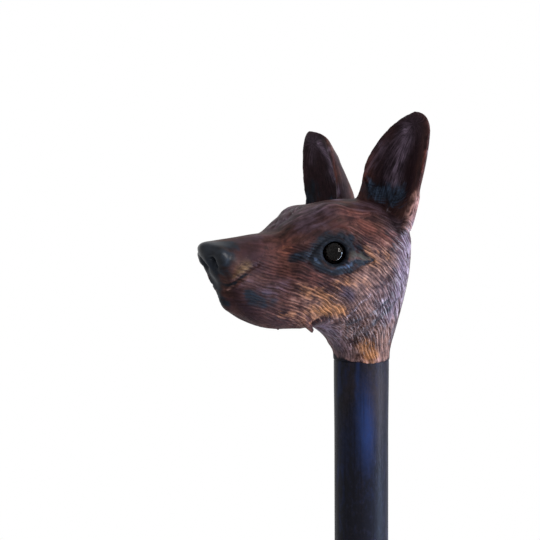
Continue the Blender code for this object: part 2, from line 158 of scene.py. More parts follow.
def colour(value):
    return value if isinstance(value, Value) else (*value, 1.0)


def newMaterial(name):
    # the material, its shader, and the object coordinates that its patterns start from
    material = bpy.data.materials.new(name)
    material.use_nodes = True
    tree = material.node_tree
    shader = tree.nodes["Principled BSDF"]
    place = Value(tree, tree.nodes.new("ShaderNodeTexCoord").outputs["Object"])
    return material, shader, place


def setShader(shader, **values):
    # Base_Color stands for Base Color
    for name, value in values.items():
        socket = shader.inputs[name.replace("_", " ")]
        if isinstance(value, Value):
            value.tree.links.new(value.socket, socket)
        elif hasattr(value, "__len__") and len(value) == 3:
            socket.default_value = (*value, 1.0)
        else:
            socket.default_value = value


def attribute(start, name):
    return start.make("ShaderNodeAttribute", {"attribute_name": name}, {}, output=2)


def points(mesh):
    places = np.empty(len(mesh.vertices) * 3)
    mesh.vertices.foreach_get("co", places)
    return places.reshape(-1, 3)


def normals(mesh):
    directions = np.empty(len(mesh.vertices) * 3)
    mesh.vertex_normals.foreach_get("vector", directions)
    return directions.reshape(-1, 3)


def setPoints(mesh, places):
    mesh.vertices.foreach_set("co", places.ravel())
    mesh.update()


def selectOnly(piece):
    bpy.ops.object.select_all(action="DESELECT")
    piece.select_set(True)
    bpy.context.view_layer.objects.active = piece


def addAlone(add, **settings):
    # a new object by one of Blender's add operators, with nothing else selected
    bpy.ops.object.select_all(action="DESELECT")
    add(**settings)
    return bpy.context.object


def settle(piece):
    # the place goes into the mesh, and the object to the origin
    selectOnly(piece)
    bpy.ops.object.transform_apply(location=True, rotation=True, scale=True)


def applyModifier(piece, kind, **settings):
    modifier = piece.modifiers.new(kind.lower(), kind)
    for name, value in settings.items():
        setattr(modifier, name, value)
    selectOnly(piece)
    bpy.ops.object.modifier_apply(modifier=modifier.name)


def roundOff(piece, degrees):
    # shades the piece smooth, but for the edges that are sharper than this
    selectOnly(piece)
    bpy.ops.object.shade_smooth_by_angle(angle=math.radians(degrees))
    return piece


def finishPiece(piece, material, slot, *nodes):
    piece.data.materials.clear()
    piece.data.materials.append(material)
    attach(piece, "root")
    if nodes:
        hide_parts(*nodes)
    return piece


def smoothStep(low, high, value):
    share = np.clip((value - low) / (high - low), 0.0, 1.0)
    return share * share * (3.0 - 2.0 * share)


def cellNumber(cells, seed):
    # one steady number from -1 to 1 for each cell of a grid
    big = 0xFFFFFFFF
    keys = cells[:, 0] * 374761393 + cells[:, 1] * 668265263 + cells[:, 2] * 1103515245 + seed * 97531
    keys = keys & big
    keys = ((keys ^ (keys >> 13)) * 1274126177) & big
    keys = ((keys ^ (keys >> 16)) * 668265263) & big
    return (keys ^ (keys >> 15)) / big * 2.0 - 1.0


def softNoise(places, size, seed=0):
    # smooth noise from -1 to 1 with bumps of about this size
    scaled = places / size
    low = np.floor(scaled)
    part = scaled - low
    part = part * part * (3.0 - 2.0 * part)
    low = low.astype(np.int64)
    total = np.zeros(len(places))
    for corner in range(8):
        offset = np.array([corner & 1, corner >> 1 & 1, corner >> 2 & 1])
        weight = np.prod(np.where(offset == 1, part, 1.0 - part), axis=1)
        total += weight * cellNumber(low + offset, seed)
    return total


def layeredNoise(places, layers):
    # several noises in one, each by its strength, its size and its seed
    return sum(strength * softNoise(places, size, seed) for strength, size, seed in layers)


def toCollar(places):
    # from metres in the world to millimetres from the collar
    return (places - np.array([0.0, 0.0, collarHeight])) / mm


def foldOver(places, directions):
    # the dog's right side laid over its left, so that one stroke carves both
    far = places[:, 1] > 0
    foldedPlaces = places.copy()
    foldedDirections = directions.copy()
    foldedPlaces[far, 1] *= -1
    foldedDirections[far, 1] *= -1
    return foldedPlaces, foldedDirections


def skinOf(piece):
    # where the skin's points are and how they face, as they are and folded over
    places = toCollar(points(piece.data))
    directions = normals(piece.data)
    return places, directions, *foldOver(places, directions)


def pushOut(piece, directions, lift):
    # moves each point along its own direction, by millimetres
    setPoints(piece.data, points(piece.data) + directions * lift[:, None] * mm)


# The carved head
head = {
    "voxel": 0.5,             # millimetres, the grain of the carving before its last split
    "smoothing": 8,
    "triangles": 190000,
    "fairing": 12,            # rounds of smoothing that keep the size
    "fairPull": (0.6, -0.62),     # how far a round smooths, and then swells back
    "strokeEnd": 3,           # widths from its line at which a stroke has faded out
    "strokeFacing": 0.45,
    "noseLine": ((-68, 44), (-69, 38), (-65, 31), (-62, 24)),   # reach and height, rounded over within
    "noseReach": 7.0,
    "noseRounds": 60,
    "noseLastRounds": 34,
    "noseBare": 6.0,          # the hair stops this near to the line of the nose
    "earRounds": 54,
    "earSwell": 0.3,
    "earSoftFrom": 4.0,       # millimetres over the foot of the ear
    "eyeSeat": 0.8,           # from the middle of the backing to the flat back of the glass
    "socket": (5.0, 5.8),     # the dark ring round the eye fades out between these
    "lidRing": (3.98, 0.52),  # radius of the ring round the glass, and of its roll
    "lidLift": 0.95,          # how far the ring stands over the flat back of the glass
    "lidStretch": 1.04,
    "jawLock": ((-38.3, -8.8, 19.2), (-30.9, -9.1, 11.2), 2.3),   # root, tip and thickness
    "skirt": (10.24, 1.1, 1.5),   # radius, thickness and top of the edge that laps over the shaft
    "skirtSides": 96,
    "skirtFoot": -0.75,       # the edge is nowhere higher than this
    "neckEdge": (1.2, 1.68, 0.82, 247),   # mean height, two swings, and the turn they start from
    "keepLow": 3.0,           # how far below the CAD head the edge may reach
    "earRoot": (-6.0, -13.5, 40.5),
    "earTip": (0.5, -28.0, 87.0),
    "earFront": (-0.92, -0.39, 0.0),
    "earRear": (0.85, -0.53, 0.0),
    "earRearFrom": (52.0, 60.0),  # the back of the ear has its own paint, from these heights up
    "earFoot": (50.0, 56.0),      # the skull turns into the ear between these heights
    "earLean": (0.35, -5.0),      # the foot is so much higher for each millimetre behind this
    "earFlare": 8.0,              # and so much lower at the root, which comes in between these
    "flareAcross": (8.0, 15.0),
    "flareBack": (-8.0, 3.0),
}

# The cuts of the hair.
hair = {
    "pitch": 1.0,             # millimetres between the cuts
    "depth": 0.24,
    "sharpness": 1.6,
    "earTurns": 84,           # hairs round an ear
    "wander": 0.8,            # how far a hair strays, in hairs
    "strays": ((0.7, 9.0, 1), (0.5, 4.0, 2), (0.12, 1.6, 4)),   # strength, size and seed
    "earStray": 0.5,
    "topFacing": (0.66, 0.86),    # the hair of the side gives way to that of the top between these
    "life": (0.72, 0.5, 0.2),     # the mean cut, and what single hairs and patches add
    "lifeLimits": (0.05, 1.1),
    "length": 4.2,
    "patch": 6.0,
    "ears": 0.5,              # how much fainter the ears are, and the next two, between these places
    "crown": (36.0, 48.0, 0.12),
    "muzzle": (-52.0, -40.0, 0.2),
    "meeting": 0.25,          # how wide the bare band is where the ear meets the skull
    "start": (0.3, 1.8),      # the cuts begin between these heights over the lower edge
    "uneven": ((0.05, 3.0, 5), (0.03, 1.3, 6)),
    # the hair lies along this line, from the nose back and down the neck, as (reach, height)
    "spine": ((-66, 39), (-52, 36.2), (-40, 33), (-27, 27.5), (-15, 19.7), (-6, 10.7), (-1.5, 1), (0, -8)),
}

# The brush that lays the dabs and the strokes.
brush = {
    "drawnFrom": 2.9,         # a dab wider than this is drawn out along the hair
    "drawnOut": 1.5,
    "drawnIn": 0.8,
    "fade": 1.2,
    "shake": (0.9, 4.0, (11, 12, 13)),    # how far the paint's edges waver, their size and seeds
    "stainEdge": (0.35, 0.1),     # the stain starts between these distances below the neck's edge
    "stainWaver": (0.3, 1.6, 9),  # strength, size and seed
}

# Strokes of the gouge on the near side, in pixels of the photograph: the route, the half width
# and the depth in millimetres. A depth over 0 leaves a raised roll.
headStrokes = {
    "upper lid crease": (
        ((310, 257), (317, 247), (326, 239), (337, 236), (348, 240), (357, 248), (368, 258)), 0.4, -0.35,
    ),
    "upper lid": (((314, 257), (321, 247), (330, 241), (340, 241), (349, 246), (358, 254)), 1.2, 0.25),
    "upper hood": (
        ((306, 252), (316, 240), (326, 231), (338, 228), (351, 233), (363, 244), (374, 256)), 1.4, 0.4,
    ),
    "lower lid": (((314, 262), (322, 267), (332, 270), (343, 268), (354, 264), (364, 261)), 0.9, 0.2),
    "lower lid crease": (
        ((308, 263), (319, 272), (330, 276), (342, 275), (355, 270), (368, 263)), 0.45, -0.35,
    ),
    "rear corner": (((350, 256.5), (360, 258), (368, 260)), 1.3, 0.35),
    "rear corner above": (((349, 249), (360, 253), (374, 260)), 0.35, -0.45),
    "rear corner below": (((346, 262.5), (358, 263), (374, 262)), 0.35, -0.45),
    "tear duct": (((309, 260), (317, 261)), 0.5, -0.4),
    "crow's foot one": (((346, 233), (353, 243), (362, 251)), 0.32, -0.35),
    "crow's foot two": (((352, 233), (359, 242), (369, 251)), 0.32, -0.3),
    "crow's foot three": (((343, 236), (349, 245), (357, 251)), 0.3, -0.3),
    "brow furrow": (((318, 236), (330, 227), (344, 226), (356, 232)), 0.9, -0.3),
    "front furrow": (((290, 261), (302, 257), (312, 258)), 0.6, -0.35),
    "mouth line": (
        ((229, 285.5), (232, 284), (236, 281), (243, 275), (252, 268), (259, 265)), 0.5, -0.6,
    ),
    "upper lip roll": (((229, 279), (235, 276), (245, 268), (256, 262)), 0.9, 0.3),
    "lower lip roll": (((229, 289), (237, 286), (247, 278)), 0.7, 0.3),
    "nostril top": (((211, 257), (213, 252), (218, 250)), 0.9, -0.35),
    "nostril": (((211.2, 261.5), (212.0, 264.0), (213.2, 266.5)), 1.15, -2.9),
    "nostril tail": (((217, 272), (220, 275), (224, 277)), 0.5, -0.3),
    "nose wing": (((221, 255), (223, 260)), 1.7, 0.5),
    "nose wing crease": (((229, 249), (231, 256), (228, 263), (221, 268)), 0.7, -0.2),
    "whisker pad": (((236, 262), (248, 257)), 2.2, 0.25),
    "cheek bone": (((300, 275), (325, 285), (350, 290)), 3.0, 0.35),
    "cheek hollow": (((262, 276), (285, 285)), 3.0, -0.3),
    "jaw lock one": (((304, 321), (284, 317), (264, 309)), 0.6, -0.3),
    "jaw lock two": (((330, 318), (312, 312), (292, 306)), 0.6, -0.25),
    "jaw edge": (((313, 322), (322, 319), (334, 322)), 0.7, -0.4),
    "neck lock one": (((366, 318), (356, 334), (352, 350)), 0.7, -0.4),
    "neck lock two": (((386, 305), (376, 326), (371, 348)), 0.7, -0.4),
    "neck lock three": (((398, 300), (391, 324), (384, 344)), 0.7, -0.35),
    "neck lock four": (((350, 318), (343, 332), (341, 345)), 0.6, -0.3),
    "near ear hollow": (((404, 190), (408, 165), (414, 140)), 2.2, -0.5),
    "ear ridge": (((394, 196), (397, 176), (401, 152), (408, 130)), 1.0, 0.6),
    "ear ridge groove": (((388, 196), (391, 174), (395, 152), (402, 134)), 0.8, -0.35),
    "ear ridge second": (((382, 198), (380, 180), (384, 160)), 0.8, 0.3),
    "ear root swell": (((413, 198), (411, 213), (407, 228)), 2.4, 1.5),
    "ear fold low": (((376, 200), (386, 204), (399, 202), (407, 195)), 0.8, 0.3),
}

# Strokes on the middle line, as (reach, height) in millimetres from the collar.
profileStrokes = {
    "chin corner": (((-59.5, 20.5), (-60.5, 22.0)), 2.6, 0.9),
    "under the chin": (((-54.0, 15.0), (-49.0, 12.6)), 2.6, -0.5),
    "lip front": (((-65.5, 29.5), (-64.0, 26.5), (-62.5, 23.5)), 1.7, 0.5),
    "philtrum": (((-69.0, 36.0), (-67.0, 33.0), (-64.0, 28.0)), 0.45, -0.2),
    "nose tip": (((-70.0, 36.5), (-70.0, 41.0)), 3.0, 0.55),
    "brow hollow": (((-40.0, 47.0), (-30.0, 54.0)), 1.4, -0.5),
}

# The arcs that are cut low in the ear, one under the other: the first one's pixels, the step
# from each to the next, and how many.
earArcs = (
    (((364, 178), (369, 185), (379, 187)), (1.0, 2.7), 8),
    (((386, 182), (393, 190), (405, 185)), (0.2, 2.7), 8),
)


def arcRoutes():
    # every arc as often as it is repeated, each time one step further on
    for arc, (stepRight, stepDown), count in earArcs:
        for number in range(count):
            yield tuple((x + stepRight * number, y + stepDown * number) for x, y in arc)


for number, arcRoute in enumerate(arcRoutes(), 1):
    headStrokes["ear arc %d" % number] = (arcRoute, 0.3, -0.35)

# Small corrections of the outline: the pixel, the reach in millimetres, and how far the skin
# goes to the right and up in the photograph, in millimetres. The head is a hand's work, so
# its two sides differ by as much.
outlineNudges = (
    (312, 140, 6, -1.1, 0.0), (311, 162, 7, -0.7, 0.0), (313, 188, 9, -1.3, 0.0),
    (320, 138, 6, 1.3, 0.3), (323, 135, 4, 0.2, -0.5), (428, 122, 5, 0.2, 0.2),
    (349, 195, 5, 0.0, 0.5), (268, 229, 4.0, 2.0, -0.6), (397, 130, 7, -0.6, 0.2),
    (374, 158, 7, -0.6, 0.0), (364, 187, 5, 1.1, 0.0), (424, 138, 9, -0.7, 0.0),
    (406, 228, 7, 0.9, 0.0), (404, 250, 8, -0.7, 0.0), (412, 212, 6, 0.5, 0.0),
    (198, 248, 6, 0.2, 0.0), (203, 267, 5, 0.3, 0.0), (212, 245, 8, 0.0, -0.6),
    (230, 241, 7, 0.0, -0.95), (248, 237, 7, 0.0, -0.95), (268, 234, 6, 0.5, -0.5),
    (277, 217, 2.2, -0.5, 0.2), (285, 211, 2.2, -0.5, 0.3), (426, 116, 3, 0.6, 0.2),
    (272, 224, 2.0, 0.6, 0.0), (213, 283, 1.6, -0.7, 0.0), (226, 305, 4, -0.9, 0.0),
    (240, 312, 4.5, 0.0, 0.6),
)


def splineThrough(knots, count):
    # points along a smooth line through the knots
    knots = np.asarray(knots, float)
    padded = np.vstack([2 * knots[0] - knots[1], knots, 2 * knots[-1] - knots[-2]])
    line = []
    for index in range(len(knots) - 1):
        before, start, end, after = padded[index:index + 4]
        for share in np.linspace(0.0, 1.0, count, endpoint=False):
            line.append(0.5 * (2 * start + (end - before) * share
                               + (2 * before - 5 * start + 4 * end - after) * share ** 2
                               + (3 * start - before - 3 * end + after) * share ** 3))
    return np.array([*line, knots[-1]])


def nearLine(places, line):
    # for each place: how far it is from the line, the distance run along it, and the nearest point
    lengths = np.linalg.norm(np.diff(line, axis=0), axis=1)
    runs = np.concatenate([[0.0], np.cumsum(lengths)])
    best = np.full(len(places), 1e9)
    along = np.zeros(len(places))
    nearest = np.zeros_like(places)
    for index, length in enumerate(lengths):
        direction = (line[index + 1] - line[index]) / length
        share = np.clip((places - line[index]) @ direction, 0.0, length)
        foot = line[index] + share[:, None] * direction
        distance = np.linalg.norm(places - foot, axis=1)
        closer = distance < best
        best = np.where(closer, distance, best)
        along = np.where(closer, runs[index] + share, along)
        nearest = np.where(closer[:, None], foot, nearest)
    return best, along, nearest


def skinUnder(tree, pixel):
    # where the line of sight through a pixel meets the skin, and the way the skin faces there
    start, direction = photoRay(*pixel)
    hit, facing, _, _ = tree.ray_cast(start, direction)
    if hit is None:
        # just off the outline: the skin nearest to where the line passes the middle plane
        hit, facing, _, _ = tree.find_nearest(start - direction * (start.y / direction.y))
    return toCollar(np.array(hit)), np.array(facing)


def routeOnSkin(tree, pixels):
    found = [skinUnder(tree, pixel) for pixel in pixels]
    knots = np.array([place for place, _ in found])
    facing = np.mean([way for _, way in found], axis=0)
    return splineThrough(knots, 6), facing / np.linalg.norm(facing)


def strokeWeight(places, directions, line, facing, width):
    # 1 on the stroke and 0 away from it, only on skin that faces its way
    end = head["strokeEnd"] * width
    close = np.all((places > line.min(0) - end) & (places < line.max(0) + end), axis=1)
    weight = np.zeros(len(places))
    picked = np.nonzero(close)[0]
    if len(picked) == 0:
        return weight
    distance, _, _ = nearLine(places[picked], line)
    towards = smoothStep(0.0, head["strokeFacing"], directions[picked] @ facing)
    weight[picked] = np.exp(-(distance / width) ** 2) * towards
    return weight


def eyeFrame(side):
    # the eye's own axes, from the centres of the CAD glass and backing
    glass = np.mean(points(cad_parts[side + "_eye_glass"].data), axis=0)
    low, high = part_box(side + "_eye_backing")
    backing = np.array((low + high) / 2)
    sight = Vector(glass - backing).normalized()
    turn = sight.to_track_quat("Z", "Y").to_matrix().to_4x4()
    front = Vector(backing) + sight * head["eyeSeat"] * mm
    return Matrix.Translation(front) @ turn


def copyOfNode(node, name):
    piece = bpy.data.objects.new(name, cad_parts[node].data.copy())
    bpy.context.scene.collection.objects.link(piece)
    selectOnly(piece)
    bpy.ops.object.mode_set(mode="EDIT")
    bpy.ops.mesh.select_all(action="SELECT")
    bpy.ops.mesh.remove_doubles(threshold=0.000001)
    bpy.ops.object.mode_set(mode="OBJECT")
    return piece


def addLidRing(side):
    ring, roll = head["lidRing"]
    lid = addAlone(bpy.ops.mesh.primitive_torus_add, major_radius=ring * mm, minor_radius=roll * mm,
                   major_segments=64, minor_segments=20)
    stretch = Matrix.Diagonal((head["lidStretch"], 1.0, 1.0, 1.0))
    lift = Matrix.Translation((0.0, 0.0, head["lidLift"] * mm))
    lid.matrix_world = eyeFrame(side) @ lift @ stretch
    settle(lid)
    return lid


def addJawLock(side):
    # the tuft of hair that stands out at the corner of the jaw
    root, tip, thickness = head["jawLock"]
    root, tip = (Vector((x, y * side, z)) for x, y, z in (root, tip))
    way = tip - root
    lock = addAlone(bpy.ops.mesh.primitive_cone_add, vertices=24, radius1=thickness * mm,
                    radius2=0.35 * thickness * mm, depth=way.length * mm)
    turn = way.to_track_quat("Z", "Y").to_matrix().to_4x4()
    lock.matrix_world = Matrix.Translation(fromCollar(*((root + tip) / 2))) @ turn
    settle(lock)
    return lock


def neckEdge(places):
    # the height of the carving's lower edge all round the neck, which dips towards the camera
    mean, swing, wave, start = head["neckEdge"]
    turn = np.arctan2(places[:, 1], places[:, 0]) - math.radians(start)
    return mean - swing * np.cos(turn) - wave * np.cos(2 * turn)


def addSkirt():
    # the carving's lower edge, which laps over the shaft
    radius, wall, top = head["skirt"]
    skirt = addAlone(bpy.ops.mesh.primitive_cylinder_add, vertices=head["skirtSides"], radius=radius * mm,
                     depth=2 * top * mm, end_fill_type="NOTHING", location=fromCollar(0, 0, 0))
    settle(skirt)
    places = toCollar(points(skirt.data))
    lowered = np.minimum(neckEdge(places), head["skirtFoot"])
    places[:, 2] = np.where(places[:, 2] < 0, lowered, top)
    setPoints(skirt.data, places * mm + np.array([0.0, 0.0, collarHeight]))
    applyModifier(skirt, "SOLIDIFY", thickness=wall * mm, offset=-1.0)
    return skirt


def fair(piece, rounds):
    # each round smooths and then swells back, so thin rims lose their steps and not their size
    for _ in range(rounds):
        for pull in head["fairPull"]:
            applyModifier(piece, "SMOOTH", factor=pull, iterations=2)


def soften(piece, name, share, rounds):
    # smooths the skin where the share is over 0, and most where it is 1
    group = piece.vertex_groups.new(name=name)
    levels = 10
    for level in range(1, levels + 1):
        chosen = np.nonzero(np.ceil(share * levels).astype(int) == level)[0]
        group.add([int(index) for index in chosen], level / levels, "REPLACE")
    applyModifier(piece, "SMOOTH", factor=0.5, iterations=rounds, vertex_group=name)


def noseShare(places, reach):
    # 1 on the line down the front of the nose, fading out over the reach
    line = splineThrough([(x, 0.0, z) for x, z in head["noseLine"]], 6)
    distance, _, _ = nearLine(places, line)
    return np.where(distance < head["strokeEnd"] * reach, np.exp(-(distance / reach) ** 2), 0.0)


def softenEars(piece):
    # the rims of the ears lose their steps, and then get back what the smoothing took
    share = earShare(toCollar(points(piece.data)) - np.array([0.0, 0.0, head["earSoftFrom"]]))
    soften(piece, "ears", share, head["earRounds"])
    swell = normals(piece.data) * (share * head["earSwell"] * mm)[:, None]
    setPoints(piece.data, points(piece.data) + swell)


def nudgeOutline(piece):
    tree = treeOf(piece)
    places = toCollar(points(piece.data))
    forward = np.array(photo["aim"]) - np.array(photo["place"])
    right = np.cross(forward, (0, 0, 1))
    right = right / np.linalg.norm(right)
    shift = np.zeros_like(places)
    for x, y, reach, across, rise in outlineNudges:
        centre, _ = skinUnder(tree, (x, y))
        share = np.exp(-np.sum((places - centre) ** 2, axis=1) / reach ** 2)
        shift += share[:, None] * (right * across + np.array([0.0, 0.0, rise]))
    setPoints(piece.data, points(piece.data) + shift * mm)


def treeOf(piece):
    faces = [tuple(face.vertices) for face in piece.data.polygons]
    return BVHTree.FromPolygons([tuple(place) for place in points(piece.data)], faces)


def roughOutHead():
    # the CAD head with its lids, as one even skin
    piece = copyOfNode("carved_head", "dog_head")
    additions = [addLidRing("left"), addLidRing("right"), addJawLock(1), addJawLock(-1), addSkirt()]
    selectOnly(piece)
    for addition in additions:
        addition.select_set(True)
    bpy.ops.object.join()
    applyModifier(piece, "REMESH", mode="VOXEL", voxel_size=head["voxel"] * mm)
    applyModifier(piece, "SMOOTH", factor=0.5, iterations=head["smoothing"])
    fair(piece, head["fairing"])
    soften(piece, "nose", noseShare(toCollar(points(piece.data)), head["noseReach"]), head["noseRounds"])
    softenEars(piece)
    nudgeOutline(piece)
    applyModifier(piece, "SUBSURF", levels=1, render_levels=1)
    return piece


def hairCoordinates(places):
    # how far above the line of the hair a place is, how far along it, and which way is up there
    line = splineThrough([(x, 0.0, z) for x, z in hair["spine"]], 8)
    flat = places * np.array([1.0, 0.0, 1.0])
    _, along, nearest = nearLine(flat, line)
    ahead = splineDirection(line, along)
    offset = flat - nearest
    up = np.stack([-ahead[:, 2], np.zeros(len(ahead)), ahead[:, 0]], axis=1)
    return np.sum(offset * up, axis=1), along, up


def splineDirection(line, along):
    # the way the line runs at each distance along it, turning smoothly
    steps = np.diff(line, axis=0)
    lengths = np.linalg.norm(steps, axis=1)
    middles = np.cumsum(lengths) - lengths / 2
    ways = steps / lengths[:, None]
    turned = np.stack([np.interp(along, middles, ways[:, axis]) for axis in range(3)], axis=1)
    return turned / np.linalg.norm(turned, axis=1)[:, None]


def earCoordinates(places):
    # how far round the ear's middle line a place is, in turns, and how far along it
    root, tip = np.array(head["earRoot"]), np.array(head["earTip"])
    way = (tip - root) / np.linalg.norm(tip - root)
    offset = places - root
    along = offset @ way
    front = np.array(head["earFront"])
    front = front - way * (front @ way)
    front /= np.linalg.norm(front)
    side = np.cross(way, front)
    return np.arctan2(offset @ side, offset @ front) / (2 * math.pi), along


def earShare(places):
    # 1 on the ears, 0 on the skull
    lean, leanFrom = head["earLean"]
    height = places[:, 2] - lean * (places[:, 0] - leanFrom)
    across = smoothStep(*head["flareAcross"], np.abs(places[:, 1]))
    root = across * smoothStep(*head["flareBack"], places[:, 0])
    return smoothStep(*head["earFoot"], height + head["earFlare"] * root)


def carveStrokes(piece, tree):
    # every stroke lifts or cuts the skin along its own normal
    _, directions, folded, facings = skinOf(piece)
    lift = np.zeros(len(folded))
    for pixels, width, depth in headStrokes.values():
        line, facing = routeOnSkin(tree, pixels)
        lift += depth * strokeWeight(folded, facings, line, facing, width)
    for route, width, depth in profileStrokes.values():
        line = splineThrough([(x, 0.0, z) for x, z in route], 6)
        distance, _, _ = nearLine(folded, line)
        lift += depth * np.exp(-(distance / width) ** 2)
    pushOut(piece, directions, lift)


def laidOn(tree, places, directions, dabs, strokes=(), onlyFacing=0.3):
    # how much the dabs and the strokes cover each place. A dab is a pixel, a reach in millimetres
    # and a strength, and is drawn out along the hair. A strength under 0 takes off what lies there.
    # What is laid on the near side lies on the far side too.
    folded, facings = foldOver(places, directions)
    cover = np.zeros(len(places))
    _, along, _ = hairCoordinates(places)
    for pixels, width, strength in strokes:
        line, way = routeOnSkin(tree, pixels)
        where, facing = (folded, facings) if line[:, 1].mean() < 0 else (places, directions)
        cover = 1.0 - (1.0 - cover) * (1.0 - strength * strokeWeight(where, facing, line, way, width))
    for x, y, reach, strength in dabs:
        centre, way = skinUnder(tree, (x, y))
        where, facing = (folded, facings) if centre[1] < 0 else (places, directions)
        _, start, _ = hairCoordinates(centre[None, :])
        squared = np.sum((where - centre) ** 2, axis=1)
        if earShare(centre[None, :])[0] < 0.5 and reach > brush["drawnFrom"]:
            run = np.minimum((along - start) ** 2, squared)
            squared = run / brush["drawnOut"] ** 2 + (squared - run) / brush["drawnIn"] ** 2
        towards = smoothStep(-onlyFacing, onlyFacing, facing @ way)
        weight = np.exp(-brush["fade"] * squared / reach ** 2) * towards
        if strength > 0:
            cover = 1.0 - (1.0 - cover) * (1.0 - strength * weight)
        else:
            cover = cover * (1.0 + strength * weight)
    return cover


# Where the carving is smooth, in pixels, with a reach in millimetres and a strength.
smoothDabs = (
    (203, 250, 6, 1), (214, 247, 5, 1), (226, 246, 4.5, 0.9), (209, 262, 5, 1), (222, 258, 4, 0.9),
    (216, 274, 2.8, 1), (217, 286, 2.8, 1), (222, 298, 2.8, 0.8), (238, 240, 5, 0.3),
    (284, 224, 5, 0.2), (318, 258, 2.8, 0.9), (335, 240, 2.8, 0.8), (352, 256, 2.8, 0.9),
    (336, 270, 2.6, 0.8), (334, 252, 4.5, 1), (326, 245, 2.5, 0.9), (346, 247, 2.5, 0.9),
    (361, 258, 2.2, 0.9), (336, 341, 5, 0.8), (332, 330, 4, 0.5), (228, 274, 2.6, 0.8),
)

# Where the varnish shines, the same way.
polishDabs = ((202, 250, 6, 1), (214, 246, 5, 1), (222, 257, 3.5, 1), (216, 280, 3, 0.6))

